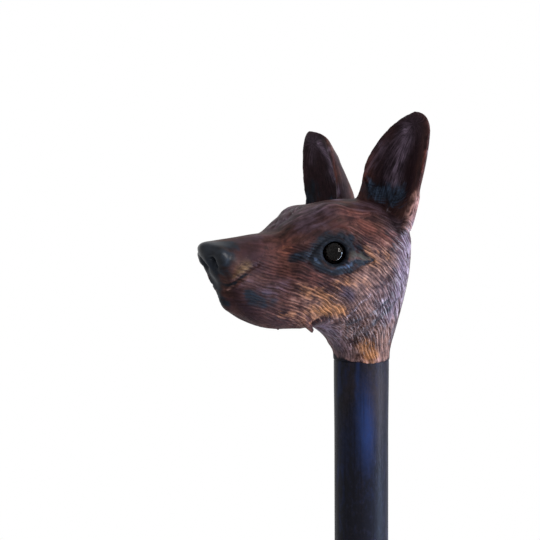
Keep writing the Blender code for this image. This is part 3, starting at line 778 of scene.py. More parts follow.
# The dabs of paint, the same way, painted sheen, highlights and shade among them. A strength under 0 takes
# paint off.
paintDabs = {
    "tan": (
        (366, 290, 8, 0.52), (346, 302, 6, 0.4), (382, 270, 7, 0.45), (312, 300, 6, 0.35),
        (332, 312, 6, 0.5), (300, 318, 6, 0.4), (380, 336, 6, 0.8), (356, 336, 5, 0.6),
        (346, 346, 4, 0.7), (394, 322, 5, 0.6), (386, 347, 5, 0.8), (372, 312, 6, 0.5),
        (340, 330, 4, 0.5), (396, 260, 5, 0.5), (384, 246, 5, 0.35), (412, 214, 4, 0.5),
        (345, 280, 5, 0.3), (365, 272, 6, 0.4), (374, 254, 4, 0.4), (300, 288, 4, 0.25),
    ),
    "ochre": (
        (304, 291, 3.6, 0.45), (324, 297, 3.4, 0.5), (328, 313, 3.8, 0.8), (341, 309, 3.4, 0.85),
        (366, 284, 3.6, 0.35), (374, 262, 4, 0.5), (284, 246, 4, 0.25), (366, 352, 3.8, 1),
        (374, 349, 3, 0.7), (350, 216, 4, 0.15), (348, 281, 3.2, 0.5), (386, 318, 3, 0.2),
        (338, 288, 3, 0.35), (294, 312, 4, 0.3), (316, 312, 3, 0.4), (386, 256, 3, 0.35),
        (286, 318, 3, 0.25), (312, 322, 3, 0.35),
    ),
    "red": (
        (365, 228, 4, 0.7), (388, 240, 4.5, 0.6), (368, 166, 4, 0.7), (296, 322, 5, 0.4),
        (264, 250, 7, 0.4), (414, 206, 4, 0.75), (345, 228, 4, 0.4), (232, 298, 4, 0.3),
        (306, 318, 5, 0.5), (280, 262, 7, 0.3), (372, 178, 3.5, 0.4), (300, 218, 5, 0.3),
        (290, 300, 5, 0.4), (285, 247, 5, 0.5), (340, 214, 5, 0.15), (375, 240, 5, 0.4),
        (265, 258, 5, 0.2), (316, 280, 7, 0.35), (318, 240, 3, 0.3), (356, 220, 4, 0.4),
        (284, 280, 5, 0.3),
    ),
    # painted lilac sheen on the lit edges of the cheek and the ear
    "lilac": (
        (390, 284, 4, 0.28), (384, 302, 3.5, 0.35), (399, 224, 2.4, 0.3), (388, 210, 3, 0.3),
    ),
    "dusk": (
        (350, 295, 3.0, 1), (344, 291, 2.4, 0.8), (300, 226, 5, 0.5), (318, 218, 6, 0.6),
        (240, 240, 4.5, 0.5), (358, 205, 4, 0.6), (262, 238, 6, 0.3), (283, 222, 5, 0.5),
        (264, 296, 4.5, 0.45), (385, 215, 5, 0.55), (274, 290, 4, 0.3), (252, 284, 4.5, 0.25),
        (255, 239, 4, 0.3), (330, 274, 4, 0.3), (375, 205, 5, 0.6), (288, 284, 4, 0.4),
    ),
    # where the fur is cool: cool painted highlights, and painted shade between its fine strands
    "cool": (
        (384, 314, 7, 0.9), (400, 284, 7, 0.9), (405, 250, 6, 0.9), (356, 330, 6, 0.8),
        (336, 336, 5, 0.7), (394, 330, 6, 0.7), (404, 228, 5, 0.8), (290, 212, 6, 0.6),
    ),
    # painted mauve sheen on the lit rims, the brow and the right side
    "haze": (
        (335, 338, 5, 0.45), (328, 328, 4, 0.4), (343, 350, 3.5, 0.4), (292, 212, 5, 0.3),
        (308, 210, 5, 0.25), (282, 220, 4, 0.35), (270, 229, 3, 0.3), (322, 204, 5, 0.25),
        (396, 226, 4, 0.35), (380, 300, 6, 0.2), (404, 270, 5, 0.35), (412, 120, 5, 0.12),
        (378, 150, 4, 0.12),
    ),
    "gold": (
        (239, 270, 1.9, 0.5), (246, 265, 1.6, 0.45), (209, 270, 4, -1),
    ),
    # where the ridges of the hair get painted highlights; a strength under 0 takes them off
    "brushed": (
        (364, 290, 9, 0.9), (330, 308, 7, 0.4), (300, 314, 6, 0.3), (375, 336, 7, 0.8),
        (396, 290, 7, 1), (388, 262, 8, 0.9), (362, 226, 7, 0.3), (415, 205, 4, 0.8),
        (352, 340, 6, 0.6), (372, 272, 6, 0.6), (404, 262, 5, 0.9), (392, 325, 6, 0.7),
        (300, 210, 6, 0.35), (398, 228, 4, 0.8), (351, 295, 4, -0.8),
    ),
    "olive": (
        (362, 258, 1.6, 1), (353, 255.5, 1.9, 0.95), (284, 216, 4, 0.3), (227, 273, 1.6, 0.3),
        (231, 265, 1.6, 0.2), (360, 240, 1.6, 0.4), (254, 288, 2, 0.3), (300, 246, 2.4, 0.3),
    ),
    "maroon": (
        (395, 150, 8, 1), (386, 172, 7, 1), (408, 128, 6, 1), (402, 178, 7, 1), (412, 150, 6, 1),
        (374, 186, 4, 0.85), (418, 130, 5, 0.7), (376, 150, 4, 0.6), (410, 185, 4, 0.7),
        (240, 306, 4, 0.6), (236, 292, 3.5, 0.5), (256, 318, 4, 0.4), (250, 246, 7, 0.35),
        (262, 266, 6, 0.3), (335, 219, 5, 0.5), (352, 222, 4, 0.3), (253, 255, 5, 0.4),
        (266, 255, 5, 0.3),
    ),
    # black paint on the nose, the lips, the lids and the jaw, and painted shadow low in the ears and on the
    # neck
    "night": (
        (203, 251, 5.5, 1), (214, 246, 4.5, 1), (226, 244, 3.4, 0.95), (209, 262, 4.5, 1),
        (234, 245, 2.6, 0.75), (220, 258, 3.2, 1), (213, 272, 2.9, 1), (216, 282, 2.6, 1),
        (218, 291, 2.4, 1), (221, 300, 2.2, 0.95), (222, 306, 2, 0.8), (229, 256, 2.6, 0.8),
        (296, 257, 2.2, 0.75), (304, 254, 2.6, 0.95), (312, 250, 2.4, 0.95), (322, 243, 2.4, 1),
        (331, 237, 2.3, 1), (341, 235, 2.3, 1), (351, 240, 2.2, 1), (360, 249, 2.2, 0.9),
        (368, 263, 1.4, 0.6), (322, 268, 1.8, 0.8), (334, 273, 1.6, 0.8), (348, 270, 1.6, 0.7),
        (249, 293, 2.6, 0.9), (254, 301, 2.8, 0.9), (263, 304, 2.6, 0.8), (274, 302, 2.5, 0.65),
        (276, 283, 2.4, 0.3), (349, 246, 2.4, 1), (373, 320, 4.5, 0.3), (389, 309, 4.5, 0.3),
        (357, 332, 4, 0.28), (311, 258, 2.0, 1), (317, 255, 2, 1), (319, 250, 2.8, 1),
        (328, 240, 2.3, 1), (347, 243, 2.3, 1), (352, 251, 2.2, 1), (351, 264, 2, 0.9),
        (341, 269, 2, 0.9), (327, 268, 2, 0.5), (317, 263, 2.2, 0.9), (226, 272, 2.2, 0.55),
        (378, 192, 4.4, 0.85), (394, 198, 4.4, 0.85), (366, 186, 3, 0.6), (404, 196, 3, 0.6),
        (310, 198, 5, 0.9), (308, 187, 3.5, 0.7), (318, 203, 3, 0.6), (211, 264, 1.6, 1),
    ),
    # painted bluish highlights on the lids, the tear duct and the nose, and a painted blue cast in the ear's
    # hollow
    "slate": (
        (317, 261, 0.9, 0.7), (345, 266, 0.9, 0.4), (330, 271, 0.8, 0.3), (232, 243, 2.5, 0.2),
        (296, 254, 1.4, 0.35), (308, 249, 1.4, 0.25), (376, 192, 3.5, 0.45), (397, 192, 4.5, 0.7),
    ),
    # pink paint at the ear's root; a strength under 0 takes it off
    "blush": (
        (409, 214, 3.0, 0.8), (413, 203, 2.6, 0.9), (405, 226, 2.6, 0.5), (305, 200, 4, -1),
        (212, 284, 3, -1),
    ),
}

# Longer strokes of the brush: the route in pixels, the half width in millimetres, the strength.
paintStrokes = {
    # black paint round the eye, on the nose and along the mouth, and painted shade between the neck's locks
    "night": (
        (((290, 258), (300, 255), (312, 253)), 1.2, 0.8),
        (((314, 262), (324, 270), (336, 274), (350, 270), (366, 264)), 0.9, 0.85),
        (((349, 249), (360, 253), (374, 260)), 0.6, 0.9),
        (((346, 262.5), (358, 263), (374, 262)), 0.6, 0.9),
        (((208, 268), (213, 280), (217, 292), (221, 304)), 1.7, 1.0),
        (((222, 285), (229, 286), (236, 282), (243, 275.5), (252, 268.5)), 0.6, 0.95),
        (((398, 300), (388, 312), (376, 322), (366, 334)), 1.0, 0.6),
        (((388, 302), (376, 311), (364, 319), (350, 325)), 0.9, 0.6),
        (((400, 318), (396, 330), (392, 342)), 0.6, 0.5),
        (((362, 324), (356, 336), (354, 346)), 0.6, 0.5),
        (((378, 318), (374, 332), (373, 342)), 0.6, 0.55),
        (((386, 322), (382, 334), (380, 344)), 0.5, 0.5),
        (((347, 322), (346, 334), (348, 342)), 0.5, 0.4),
    ),
    "maroon": (
        (((226, 300), (236, 303), (248, 312)), 1.6, 0.35),
        (((309, 145), (311, 185)), 5.0, 0.95),
        (((320, 142), (324, 190)), 3.0, 0.9),
        (((337, 158), (345, 182), (349, 200)), 3.0, 0.9),
    ),
    # painted lilac sheen along the lit nape, the cheek's edge and the ear's rim
    "lilac": (
        (((411, 230), (410, 250), (408, 272), (404, 294), (398, 312)), 3.2, 0.45),
        (((370, 296), (360, 306), (350, 316)), 1.0, 0.4),
        (((420, 196), (424, 175), (427, 152)), 1.0, 0.4),
    ),
    "red": (
        (((366, 186), (366, 172), (373, 156), (384, 142)), 2.0, 0.8),
        (((425, 152), (423, 172), (420, 190)), 1.6, 0.7),
        (((335, 222), (350, 213), (366, 212)), 1.6, 0.5),
        (((331, 146), (336, 178), (340, 200)), 2.4, 0.3),
        (((392, 234), (384, 244), (376, 252)), 1.2, 0.5),
    ),
    "ochre": (
        (((335, 224), (346, 216), (360, 213)), 0.9, 0.2),
        (((358, 244), (370, 250), (380, 256)), 1.2, 0.35),
    ),
    "tan": (
        (((336, 350), (352, 358), (371, 361), (388, 354)), 1.1, 0.6),
        (((300, 326), (306, 328)), 1.5, 0.4),
        (((408, 214), (412, 204), (415, 196)), 1.6, 0.8),
    ),
    # painted mauve sheen along the ears' ridges and down the lit nape
    "haze": (
        (((392, 184), (396, 170), (401, 152), (408, 130)), 1.9, 0.9),
        (((385, 180), (388, 160), (398, 138)), 1.2, 0.2),
        (((368, 170), (376, 156), (388, 140)), 1.4, 0.2),
        (((328, 152), (333, 178), (337, 200)), 1.6, 0.85),
        (((310, 140), (313, 160)), 1.6, 0.2),
        (((409, 226), (407, 248), (403, 270), (398, 292), (392, 312)), 4.0, 0.7),
    ),
    "gold": (
        (((233, 276), (241, 271), (249, 264)), 0.8, 0.5),
    ),
    # painted bluish highlights on the lower lids and the crow's feet
    "slate": (
        (((313, 259), (317, 261), (323, 266)), 0.4, 0.7),
        (((337, 268.5), (345, 266.5), (352, 263.5)), 0.6, 0.5),
        (((348, 236), (354, 244), (362, 250.5)), 0.22, 0.4),
        (((355, 237), (361, 244), (369, 252)), 0.22, 0.35),
        (((344, 238), (350, 246), (357, 251)), 0.22, 0.35),
    ),
    "olive": (
        (((351, 256), (358, 257.5), (369, 260)), 0.8, 0.8),
    ),
    # pink paint at the ear's root, and painted highlights on the ear's rim, the neck's lower edge and the
    # lower lip
    "blush": (
        (((407, 226), (411, 212), (415, 196)), 1.5, 0.85),
        (((424, 186), (427, 166), (428, 150)), 0.8, 0.4),
        (((334, 350), (345, 357.5), (356, 361), (368, 362.5), (380, 360)), 0.9, 0.4),
        (((227.5, 290.5), (230, 288.5), (234, 285.5)), 0.5, 0.9),
    ),
}

# The arcs of the ear get a painted bluish sheen beside their cuts.
arcPaint = {"raised": 1.2, "width": 0.28, "strength": 0.8}
paintStrokes["arcs"] = tuple(
    (tuple((x, y - arcPaint["raised"]) for x, y in arcRoute), arcPaint["width"], arcPaint["strength"])
    for arcRoute in arcRoutes()
)


def addAttribute(piece, name, values):
    layer = piece.data.attributes.new(name, "FLOAT", "POINT")
    layer.data.foreach_set("value", np.asarray(values, np.float32))


def hairPattern(places, facings):
    # one turn of phase for each hair: counted down the side of the head, and across its top and
    # underside, with how much a place faces up or down, and its way along the hair
    rise, along, up = hairCoordinates(places)
    earAround, earAlong = earCoordinates(places)
    stray = layeredNoise(places, hair["strays"]) * hair["wander"]
    onEar = earShare(places) > 0.5
    earSide = earAround * hair["earTurns"] + hair["earStray"] * stray
    side = np.where(onEar, earSide, rise / hair["pitch"] + stray)
    top = places[:, 1] / hair["pitch"] + stray
    facingUp = np.abs(np.sum(facings * up, axis=1))
    onTop = np.where(onEar, 0.0, smoothStep(*hair["topFacing"], facingUp))
    return side, top, onTop, np.where(onEar, earAlong, along)


def hairStrength(tree, places, facings, phase, along):
    # how deep the hair is cut at each place, from 0 to about 1
    smooth = laidOn(tree, places, facings, smoothDabs, onlyFacing=0.6)
    share = earShare(places)
    edge = 1.0 - np.exp(-((share - 0.5) / hair["meeting"]) ** 2)    # none where ear and skull meet
    cells = np.stack([phase * 0.9, along / hair["length"], np.zeros(len(places))], axis=1)
    perHair = softNoise(cells, 1.0, 3)
    patches = softNoise(places, hair["patch"], 8)
    mean, byHair, byPatch = hair["life"]
    lively = np.clip(mean + byHair * perHair + byPatch * patches, *hair["lifeLimits"])
    low, high, fainter = hair["crown"]
    top = smoothStep(low, high, places[:, 2]) * fainter * (1.0 - share)
    low, high, fainter = hair["muzzle"]
    muzzle = (1.0 - smoothStep(low, high, places[:, 0])) * fainter
    front = noseShare(places, head["noseBare"])
    foot = smoothStep(*hair["start"], places[:, 2] - neckEdge(places))
    return (lively * (1.0 - smooth) * (1.0 - hair["ears"] * share) * (1.0 - top) * (1.0 - muzzle)
            * (1.0 - front) * foot * edge)


def carveHair(piece, tree):
    places, directions, folded, facings = skinOf(piece)
    side, top, onTop, along = hairPattern(folded, facings)
    skull = 1.0 - earShare(folded)
    strength = hairStrength(tree, folded, facings, side, along) * skull
    beside, above = ((0.5 + 0.5 * np.cos(2 * math.pi * phase)) ** hair["sharpness"] for phase in (side, top))
    cut = (beside * (1.0 - onTop) + above * onTop) * strength
    pushOut(piece, directions, layeredNoise(places, hair["uneven"]) * skull - hair["depth"] * cut)


def keepInside(piece):
    # the carving never stands outside the CAD model's own box
    low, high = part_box("carved_head")
    low.z -= head["keepLow"] * mm         # its edge laps over the shaft
    places = np.clip(points(piece.data), np.array(low) + boxMargin, np.array(high) - boxMargin)
    setPoints(piece.data, places)


def paintHead(piece, tree):
    # the hair's pattern and the cover of each paint, as attributes that the material reads
    places, directions, folded, facings = skinOf(piece)
    side, top, onTop, along = hairPattern(folded, facings)
    behind = smoothStep(0.0, 0.5, facings @ np.array(head["earRear"]))
    layers = {
        "hairSide": side,
        "hairTop": top,
        "onTop": onTop,
        "hairAlong": along,
        "hairStrength": hairStrength(tree, folded, facings, side, along),
        "earBack": earShare(folded) * behind * smoothStep(*head["earRearFrom"], places[:, 2]),
    }
    for name, values in layers.items():
        addAttribute(piece, name, values)
    shake, size, seeds = brush["shake"]
    shaken = places + shake * np.stack([softNoise(places, size, seed) for seed in seeds], axis=1)
    for name in sorted({*paintDabs, *paintStrokes}):
        share = laidOn(tree, shaken, directions, paintDabs.get(name, ()), paintStrokes.get(name, ()))
        if name == "night":
            socket = toCollar(np.array(eyeFrame("left").translation))
            away = np.linalg.norm(folded - socket, axis=1)
            share = np.maximum(share, 1.0 - smoothStep(*head["socket"], away))
        addAttribute(piece, name, share)
    edge = neckEdge(places) + layeredNoise(places, [brush["stainWaver"]])
    low, high = brush["stainEdge"]
    addAttribute(piece, "stain", 1.0 - smoothStep(edge - low, edge - high, places[:, 2]))
    addAttribute(piece, "polish", laidOn(tree, places, directions, polishDabs))


# The paint's colours, as light that a renderer adds up.
furPaint = {
    "brown": (0.074, 0.032, 0.027),
    "darkBrown": (0.034, 0.0150, 0.0165),
    "red": (0.112, 0.039, 0.032),
    "tan": (0.205, 0.112, 0.092),
    "ochre": (0.290, 0.120, 0.046),
    # painted lilac sheen
    "lilac": (0.400, 0.330, 0.390),
    "dusk": (0.048, 0.031, 0.044),
    "olive": (0.041, 0.040, 0.036),
    # painted bluish sheen
    "slate": (0.060, 0.090, 0.150),
    # pink paint, also used for painted highlights
    "blush": (0.330, 0.180, 0.165),
    # painted mauve sheen
    "haze": (0.230, 0.170, 0.240),
    "gold": (0.130, 0.080, 0.034),
    "maroon": (0.022, 0.0105, 0.014),
    # black paint, also used for painted shade
    "night": (0.0105, 0.0135, 0.0200),
    # the colours of the painted highlights on the ridges and the fine strands
    "warmHighlight": (0.420, 0.255, 0.200),
    "coolHighlight": (0.400, 0.355, 0.390),
    "blackHighlight": (0.024, 0.031, 0.046),
    "earBack": (0.036, 0.014, 0.012),
    # painted shade in the cuts and between the fine strands
    "groove": (0.012, 0.0065, 0.008),
    "stain": (0.0085, 0.0090, 0.0150),
}

# How densely some of the paints cover.
furCover = {"red": 0.9, "tan": 0.9, "dusk": 1.0, "ochre": 0.9, "earBack": 0.8, "maroon": 1.0, "lilac": 0.9}

# The grain of the paint: the first three along hairs, across and down them, the rest per metre.
furGrain = {
    "strand": (1.0, 0.2, 1.0),
    "streaks": (0.4, 0.12, 1.0),
    "wisps": (2.2, 0.3, 1.0),
    "mottle": 150.0,
    "blot": 420.0,
    "speckle": 1100.0,
}


def furMaterial():
    material, shader, place = newMaterial("painted fur")
    side = attribute(place, "hairSide")
    top = attribute(place, "hairTop")
    onTop = attribute(place, "onTop")
    along = attribute(place, "hairAlong")
    strength = attribute(place, "hairStrength")

    waves = [place.math("SINE", phase * math.pi) for phase in (side, top)]
    sideWave, topWave = (place.math("ABSOLUTE", wave) for wave in waves)
    ridge = sideWave * (1 - onTop) + topWave * onTop       # 1 on a hair, 0 in the cut beside it
    # how much painted shade lies in each cut
    groove = ((1 - ridge) ** 2.2 * strength * 1.7).clamped()

    across = side * (1 - onTop) + top * onTop
    flow = place.make("ShaderNodeCombineXYZ", {}, {"X": across, "Y": along, "Z": 0.0})
    strand = flow.scaled(furGrain["strand"]).noise(1.0, detail=3.0, roughness=0.6)       # hair by hair
    streaks = flow.scaled(furGrain["streaks"]).noise(1.0, detail=3.0, roughness=0.6)     # lock by lock
    wisps = flow.scaled(furGrain["wisps"]).noise(1.0, detail=2.0)
    mottle = place.noise(furGrain["mottle"], detail=3.0, roughness=0.6)
    blot = place.noise(furGrain["blot"], detail=3.0, roughness=0.6)
    speckle = place.noise(furGrain["speckle"], detail=2.0)

    def laid(name):
        # a dab's edge is broken up along the hair
        share = attribute(place, name)
        broken = (strand - 0.5) * 0.9 + (streaks - 0.5) * 1.3 + (blot - 0.5) * 0.7
        return (share + broken * share.step(0.03, 0.3) * (1 - share.step(0.9, 1.0) * 0.6)).step(0.14, 0.86)

    paint = (mottle * 0.6 + streaks * 0.4).step(0.42, 0.64).paint(furPaint["darkBrown"], furPaint["brown"])
    # the paints, the lilac among them a painted sheen on lit edges
    for name, cover in furCover.items():
        share = attribute(place, name) if name == "earBack" else laid(name)
        paint = (share * cover).paint(paint, furPaint[name])
    glaze = strand.step(0.2, 0.75) * 0.9 + 0.25
    # gold paint, and the painted mauve sheen
    for name in ("gold", "haze"):
        paint = (attribute(place, name) * glaze).clamped().paint(paint, furPaint[name])
    # black paint, and painted shade low in the ears and between the neck's locks
    night = laid("night")
    paint = night.paint(paint, furPaint["night"])
    # pink paint, and painted highlights on the lower lip, the ear's rim and the neck's lower edge
    paint = (laid("blush") * (0.45 + strand.step(0.4, 0.65) * 0.55)).paint(paint, furPaint["blush"])
    # a painted bluish sheen beside the ear's arcs
    paint = (attribute(place, "arcs") * (0.55 + blot * 0.6)).clamped().paint(paint, furPaint["slate"])
    paint = laid("olive").paint(paint, furPaint["olive"])
    # painted bluish highlights on the lids and the nose, and a blue cast in the ear's hollow
    paint = (laid("slate") * 0.65).paint(paint, furPaint["slate"])
    paint = paint.brightened(0.25 + strand.step(0.25, 0.75) * 1.0 + blot.step(0.3, 0.7) * 0.5)

    # painted highlights on the ridges of the hair: warm, cool where the fur is cool, and bluish on the black
    brushed = ridge.step(0.6, 1.0) * strand.step(0.5, 0.72) * (0.05 + attribute(place, "brushed") * 0.95)
    cool = attribute(place, "cool")
    highlightPaint = cool.paint(furPaint["warmHighlight"], furPaint["coolHighlight"])
    highlightPaint = (night * (1 - cool)).paint(highlightPaint, furPaint["blackHighlight"])
    paint = (brushed * 0.5).paint(paint, highlightPaint)
    # painted shade in the cuts between the hairs, and between the fine strands where the fur is cool
    paint = (groove * 0.7).paint(paint, furPaint["groove"])
    paint = ((1 - wisps).step(0.5, 0.62) * cool * 0.6).paint(paint, furPaint["groove"])
    # painted highlights on the fine strands where the fur is cool
    paint = (wisps.step(0.52, 0.62) * cool * 0.55).paint(paint, furPaint["coolHighlight"])
    paint = (speckle.step(0.62, 0.74) * 0.04).paint(paint, highlightPaint)
    paint = attribute(place, "stain").paint(paint, furPaint["stain"])

    polish = attribute(place, "polish")
    roughness = 0.52 + (streaks - 0.5) * 0.3 - polish * 0.15
    height = ridge ** 0.6 * strength + strand * 0.5 + speckle * 0.12
    setShader(shader, Base_Color=paint, Roughness=roughness, Specular_IOR_Level=0.06,
              Coat_Weight=polish * 0.25, Coat_Roughness=0.33,
              Normal=height.bump(0.8, 0.16 * mm))
    return material


def thinOut(piece, triangles):
    # the flat places give up their points first, so the cuts stay sharp
    piece.data.calc_loop_triangles()
    share = triangles / len(piece.data.loop_triangles)
    if share < 1.0:
        applyModifier(piece, "DECIMATE", ratio=share)


print("head: roughing out")
dogHead = roughOutHead()
skin = treeOf(dogHead)
print("head: carving", len(dogHead.data.vertices), "points")
carveStrokes(dogHead, skin)
noseFront = noseShare(toCollar(points(dogHead.data)), head["noseReach"])
soften(dogHead, "nose front", noseFront, head["noseLastRounds"])
carveHair(dogHead, skin)
keepInside(dogHead)
thinOut(dogHead, head["triangles"])
print("head: painting", len(dogHead.data.polygons), "faces")
paintHead(dogHead, skin)
selectOnly(dogHead)
bpy.ops.object.shade_smooth()
finishPiece(dogHead, furMaterial(), "painted_fur", "carved_head")


# The eyes
eyes = {
    "segments": 64,
    "rings": 96,
    "bevel": 0.1,             # millimetres
    "sharpAngle": 40,
    "pupil": 0.46,            # shares of the glass's radius
    "rim": 0.93,
    "iris": (0.020, 0.009, 0.006),
    "irisLight": (0.050, 0.022, 0.012),
    "black": (0.002, 0.002, 0.003),
    "glass": (0.10, 0.055, 0.045),
}


def profileOf(node, axes):
    # how far from the axes' Z each point of a CAD node is, and how far along it
    flat = np.array([axes.inverted() @ Vector(p) for p in points(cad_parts[node].data)])
    radii = np.hypot(flat[:, 0], flat[:, 1])
    return radii, flat[:, 2]


def makeLens(side):
    axes = eyeFrame(side)
    radii, heights = profileOf(side + "_eye_glass", axes)
    radius = radii.max()
    foot = heights.min()
    rise = heights.max() - foot
    ball = (radius ** 2 + rise ** 2) / (2 * rise)
    lens = addAlone(bpy.ops.mesh.primitive_uv_sphere_add, segments=eyes["segments"],
                    ring_count=eyes["rings"], radius=ball)
    lens.name = side + "_glass_eye"
    cut = rise - ball
    bpy.ops.object.mode_set(mode="EDIT")
    bpy.ops.mesh.select_all(action="SELECT")
    bpy.ops.mesh.bisect(plane_co=(0, 0, -cut), plane_no=(0, 0, 1), clear_inner=True, use_fill=True)
    bpy.ops.mesh.normals_make_consistent(inside=False)
    bpy.ops.object.mode_set(mode="OBJECT")
    lens.matrix_world = axes @ Matrix.Translation((0, 0, foot + cut))
    settle(lens)
    return roundOff(lens, eyes["sharpAngle"])


def makeIris(side):
    axes = eyeFrame(side)
    radii, heights = profileOf(side + "_eye_backing", axes)
    depth = heights.max() - heights.min()
    iris = addAlone(bpy.ops.mesh.primitive_cylinder_add, vertices=eyes["segments"],
                    radius=radii.max(), depth=depth)
    iris.name = side + "_iris"
    applyModifier(iris, "BEVEL", width=eyes["bevel"] * mm, segments=2)
    iris.matrix_world = axes @ Matrix.Translation((0, 0, (heights.max() + heights.min()) / 2))
    settle(iris)
    return roundOff(iris, eyes["sharpAngle"])


def glassMaterial():
    material, shader, place = newMaterial("clear glass")
    smear = place.noise(600.0, detail=2.0)
    setShader(shader, Base_Color=eyes["glass"], Roughness=0.045 + smear * 0.015, IOR=1.22,
              Transmission_Weight=1.0)
    return material


def irisMaterial(centres):
    # rings of colour round the middle of the nearer eye
    material, shader, place = newMaterial("painted iris")
    distances = [place.make("ShaderNodeVectorMath", {"operation": "DISTANCE"}, {0: place, 1: centre}, 1)
                 for centre in centres]
    share = place.math("MINIMUM", *distances) / eyes["radius"]
    threads = place.noise(1400.0, detail=2.0)
    ring = share.step(eyes["pupil"], eyes["pupil"] + 0.12) * (1 - share.step(0.72, eyes["rim"]))
    paint = (threads * ring).step(0.25, 0.75).paint(eyes["iris"], eyes["irisLight"])
    paint = share.step(eyes["pupil"], eyes["pupil"] + 0.06).paint(eyes["black"], paint)
    paint = share.step(0.8, eyes["rim"]).paint(paint, eyes["black"])
    setShader(shader, Base_Color=paint, Roughness=0.4 + threads * 0.15, Specular_IOR_Level=0.05,
              Normal=threads.bump(0.05, 0.03 * mm))
    return material


print("eyes")
eyes["radius"] = float(profileOf("left_eye_backing", eyeFrame("left"))[0].max())
glass = glassMaterial()
irisPaint = irisMaterial([tuple(eyeFrame(side).translation) for side in ("left", "right")])
for side in ("left", "right"):
    finishPiece(makeLens(side), glass, "eye_glass", side + "_eye_glass")
    finishPiece(makeIris(side), irisPaint, "painted_iris", side + "_eye_backing")


# The shaft
shaft = {
    "sides": 96,
    "stations": 150,
    "sharpAngle": 35,
    "play": 0.3,              # millimetres round the stud and the pin
    "thinnest": 9,            # what is thinner is the turned-down end or the bore
    "footEdge": 0.5,
    "shoulderEdge": 0.4,
    "topEdge": (0.35, 0.5),   # across and down
    "plain": (4, 2),          # no station so near to the shoulder and the top
    "calm": (2, 30, 30, 3),   # over the shoulder the waves come in between the first two, and under
                              # the top they go out between the last two
    "wave": (7.0, 0.16, 21),  # size, how it is drawn out along the shaft, and seed
    "dimple": (0.35, 0.7),    # the width and the depth of a knot's middle, as shares of the knot
    "knots": (
        # height under the collar, angle round, reach along, reach round and height, in millimetres
        (152, 200, 7, 6, 0.5), (160, 215, 5, 5, 0.35), (205, 40, 7, 6, 0.45), (420, 120, 9, 7, 0.5),
        (640, 300, 8, 6, 0.45), (830, 30, 9, 7, 0.5), (1010, 210, 9, 7, 0.45), (1160, 100, 8, 6, 0.4),
        (520, 230, 7, 6, 0.4), (300, 330, 6, 5, 0.35),
    ),
    "uneven": 0.16,           # millimetres
    "stain": furPaint["stain"],
    # stain colours, also used for the painted reflections
    "blueStainAndReflection": (0.0170, 0.0320, 0.1050),
    "brownStainAndReflection": (0.0340, 0.0250, 0.0260),
    "pores": (0.005, 0.004, 0.006),
}

# Painted blue and brown reflections on the shaft under the head: the pixel, the reach round the
# shaft and along it in millimetres, and the strength.
reflectionDabs = {
    "blue": (
        (366, 428, 3.2, 12, 1.1), (358, 373, 0.7, 7, 0.7), (344, 440, 3, 9, 0.25),
        (363, 408, 2.4, 7, 0.5),
    ),
    "brown": (
        (380, 384, 3.2, 9, 0.8), (349, 384, 3, 7, 0.45), (370, 375, 2.5, 6, 0.5),
        (380, 425, 2.2, 14, 0.6), (344, 412, 2, 8, 0.3), (376, 402, 2.5, 7, 0.5),
    ),
}


def skinRadii(node):
    # how thick a node is at each height, from its own points
    places = points(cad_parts[node].data)
    levels = np.round(places[:, 2], 5)
    radii = np.hypot(places[:, 0], places[:, 1])
    known = np.unique(levels)
    widest = np.array([radii[levels == level].max() for level in known])
    return known, widest


def lathe(name, outline, sides):
    # a round piece from (radius, height) pairs, foot to top and back down inside
    outline = [(float(wide), float(high)) for wide, high in outline]
    radius, height = outline[0]
    piece = addAlone(bpy.ops.mesh.primitive_circle_add, vertices=sides, radius=radius,
                     location=(0, 0, height))
    piece.name = name
    bpy.ops.object.mode_set(mode="EDIT")
    bpy.ops.mesh.select_all(action="SELECT")
    bpy.ops.mesh.edge_face_add()
    for wide, high in outline[1:]:
        bpy.ops.mesh.extrude_region_move(TRANSFORM_OT_translate={"value": (0, 0, high - height)})
        if wide != radius:
            share = wide / radius
            bpy.ops.transform.resize(value=(share, share, 1), center_override=(0, 0, high))
        radius, height = wide, high
    bpy.ops.mesh.select_all(action="SELECT")
    bpy.ops.mesh.normals_make_consistent(inside=False)
    bpy.ops.object.mode_set(mode="OBJECT")
    settle(piece)
    return piece


def boreOut(piece, radius, height, length):
    # a round hole right through, along Y
    cutter = addAlone(bpy.ops.mesh.primitive_cylinder_add, vertices=32, radius=radius, depth=length,
                      location=(0, 0, height), rotation=(math.pi / 2, 0, 0))
    applyModifier(piece, "BOOLEAN", operation="DIFFERENCE", solver="EXACT", object=cutter)
    bpy.data.objects.remove(cutter)


def shaftOutline(low, high):
    # the shaft as (radius, height) pairs, and the height of the shoulder over its turned-down foot
    levels, radii = skinRadii("shaft")
    isSkin = radii > shaft["thinnest"] * mm
    skinLevels, skinRadius = levels[isSkin], radii[isSkin]
    shoulder = skinLevels.min()
    tenon = radii[levels < shoulder - 1 * mm].max()
    studLow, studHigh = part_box("head_stud")
    bore = (studHigh.x - studLow.x) / 2 + shaft["play"] * mm
    foot, edge = shaft["footEdge"] * mm, shaft["shoulderEdge"] * mm
    topIn, topDown = shaft["topEdge"]
    outline = [(tenon - foot, low.z), (tenon, low.z + foot), (tenon, shoulder)]
    outline += [(skinRadius[0] - edge, shoulder), (skinRadius[0], shoulder + edge)]
    first, last = shaft["plain"]
    for height in np.linspace(shoulder + first * mm, high.z - last * mm, shaft["stations"]):
        outline.append((np.interp(height, skinLevels, skinRadius), height))
    outline += [(skinRadius[-1], high.z - topDown * mm), (skinRadius[-1] - topIn * mm, high.z)]
    outline += [(bore, high.z), (bore, studLow.z - shaft["play"] * mm)]
    return outline, shoulder


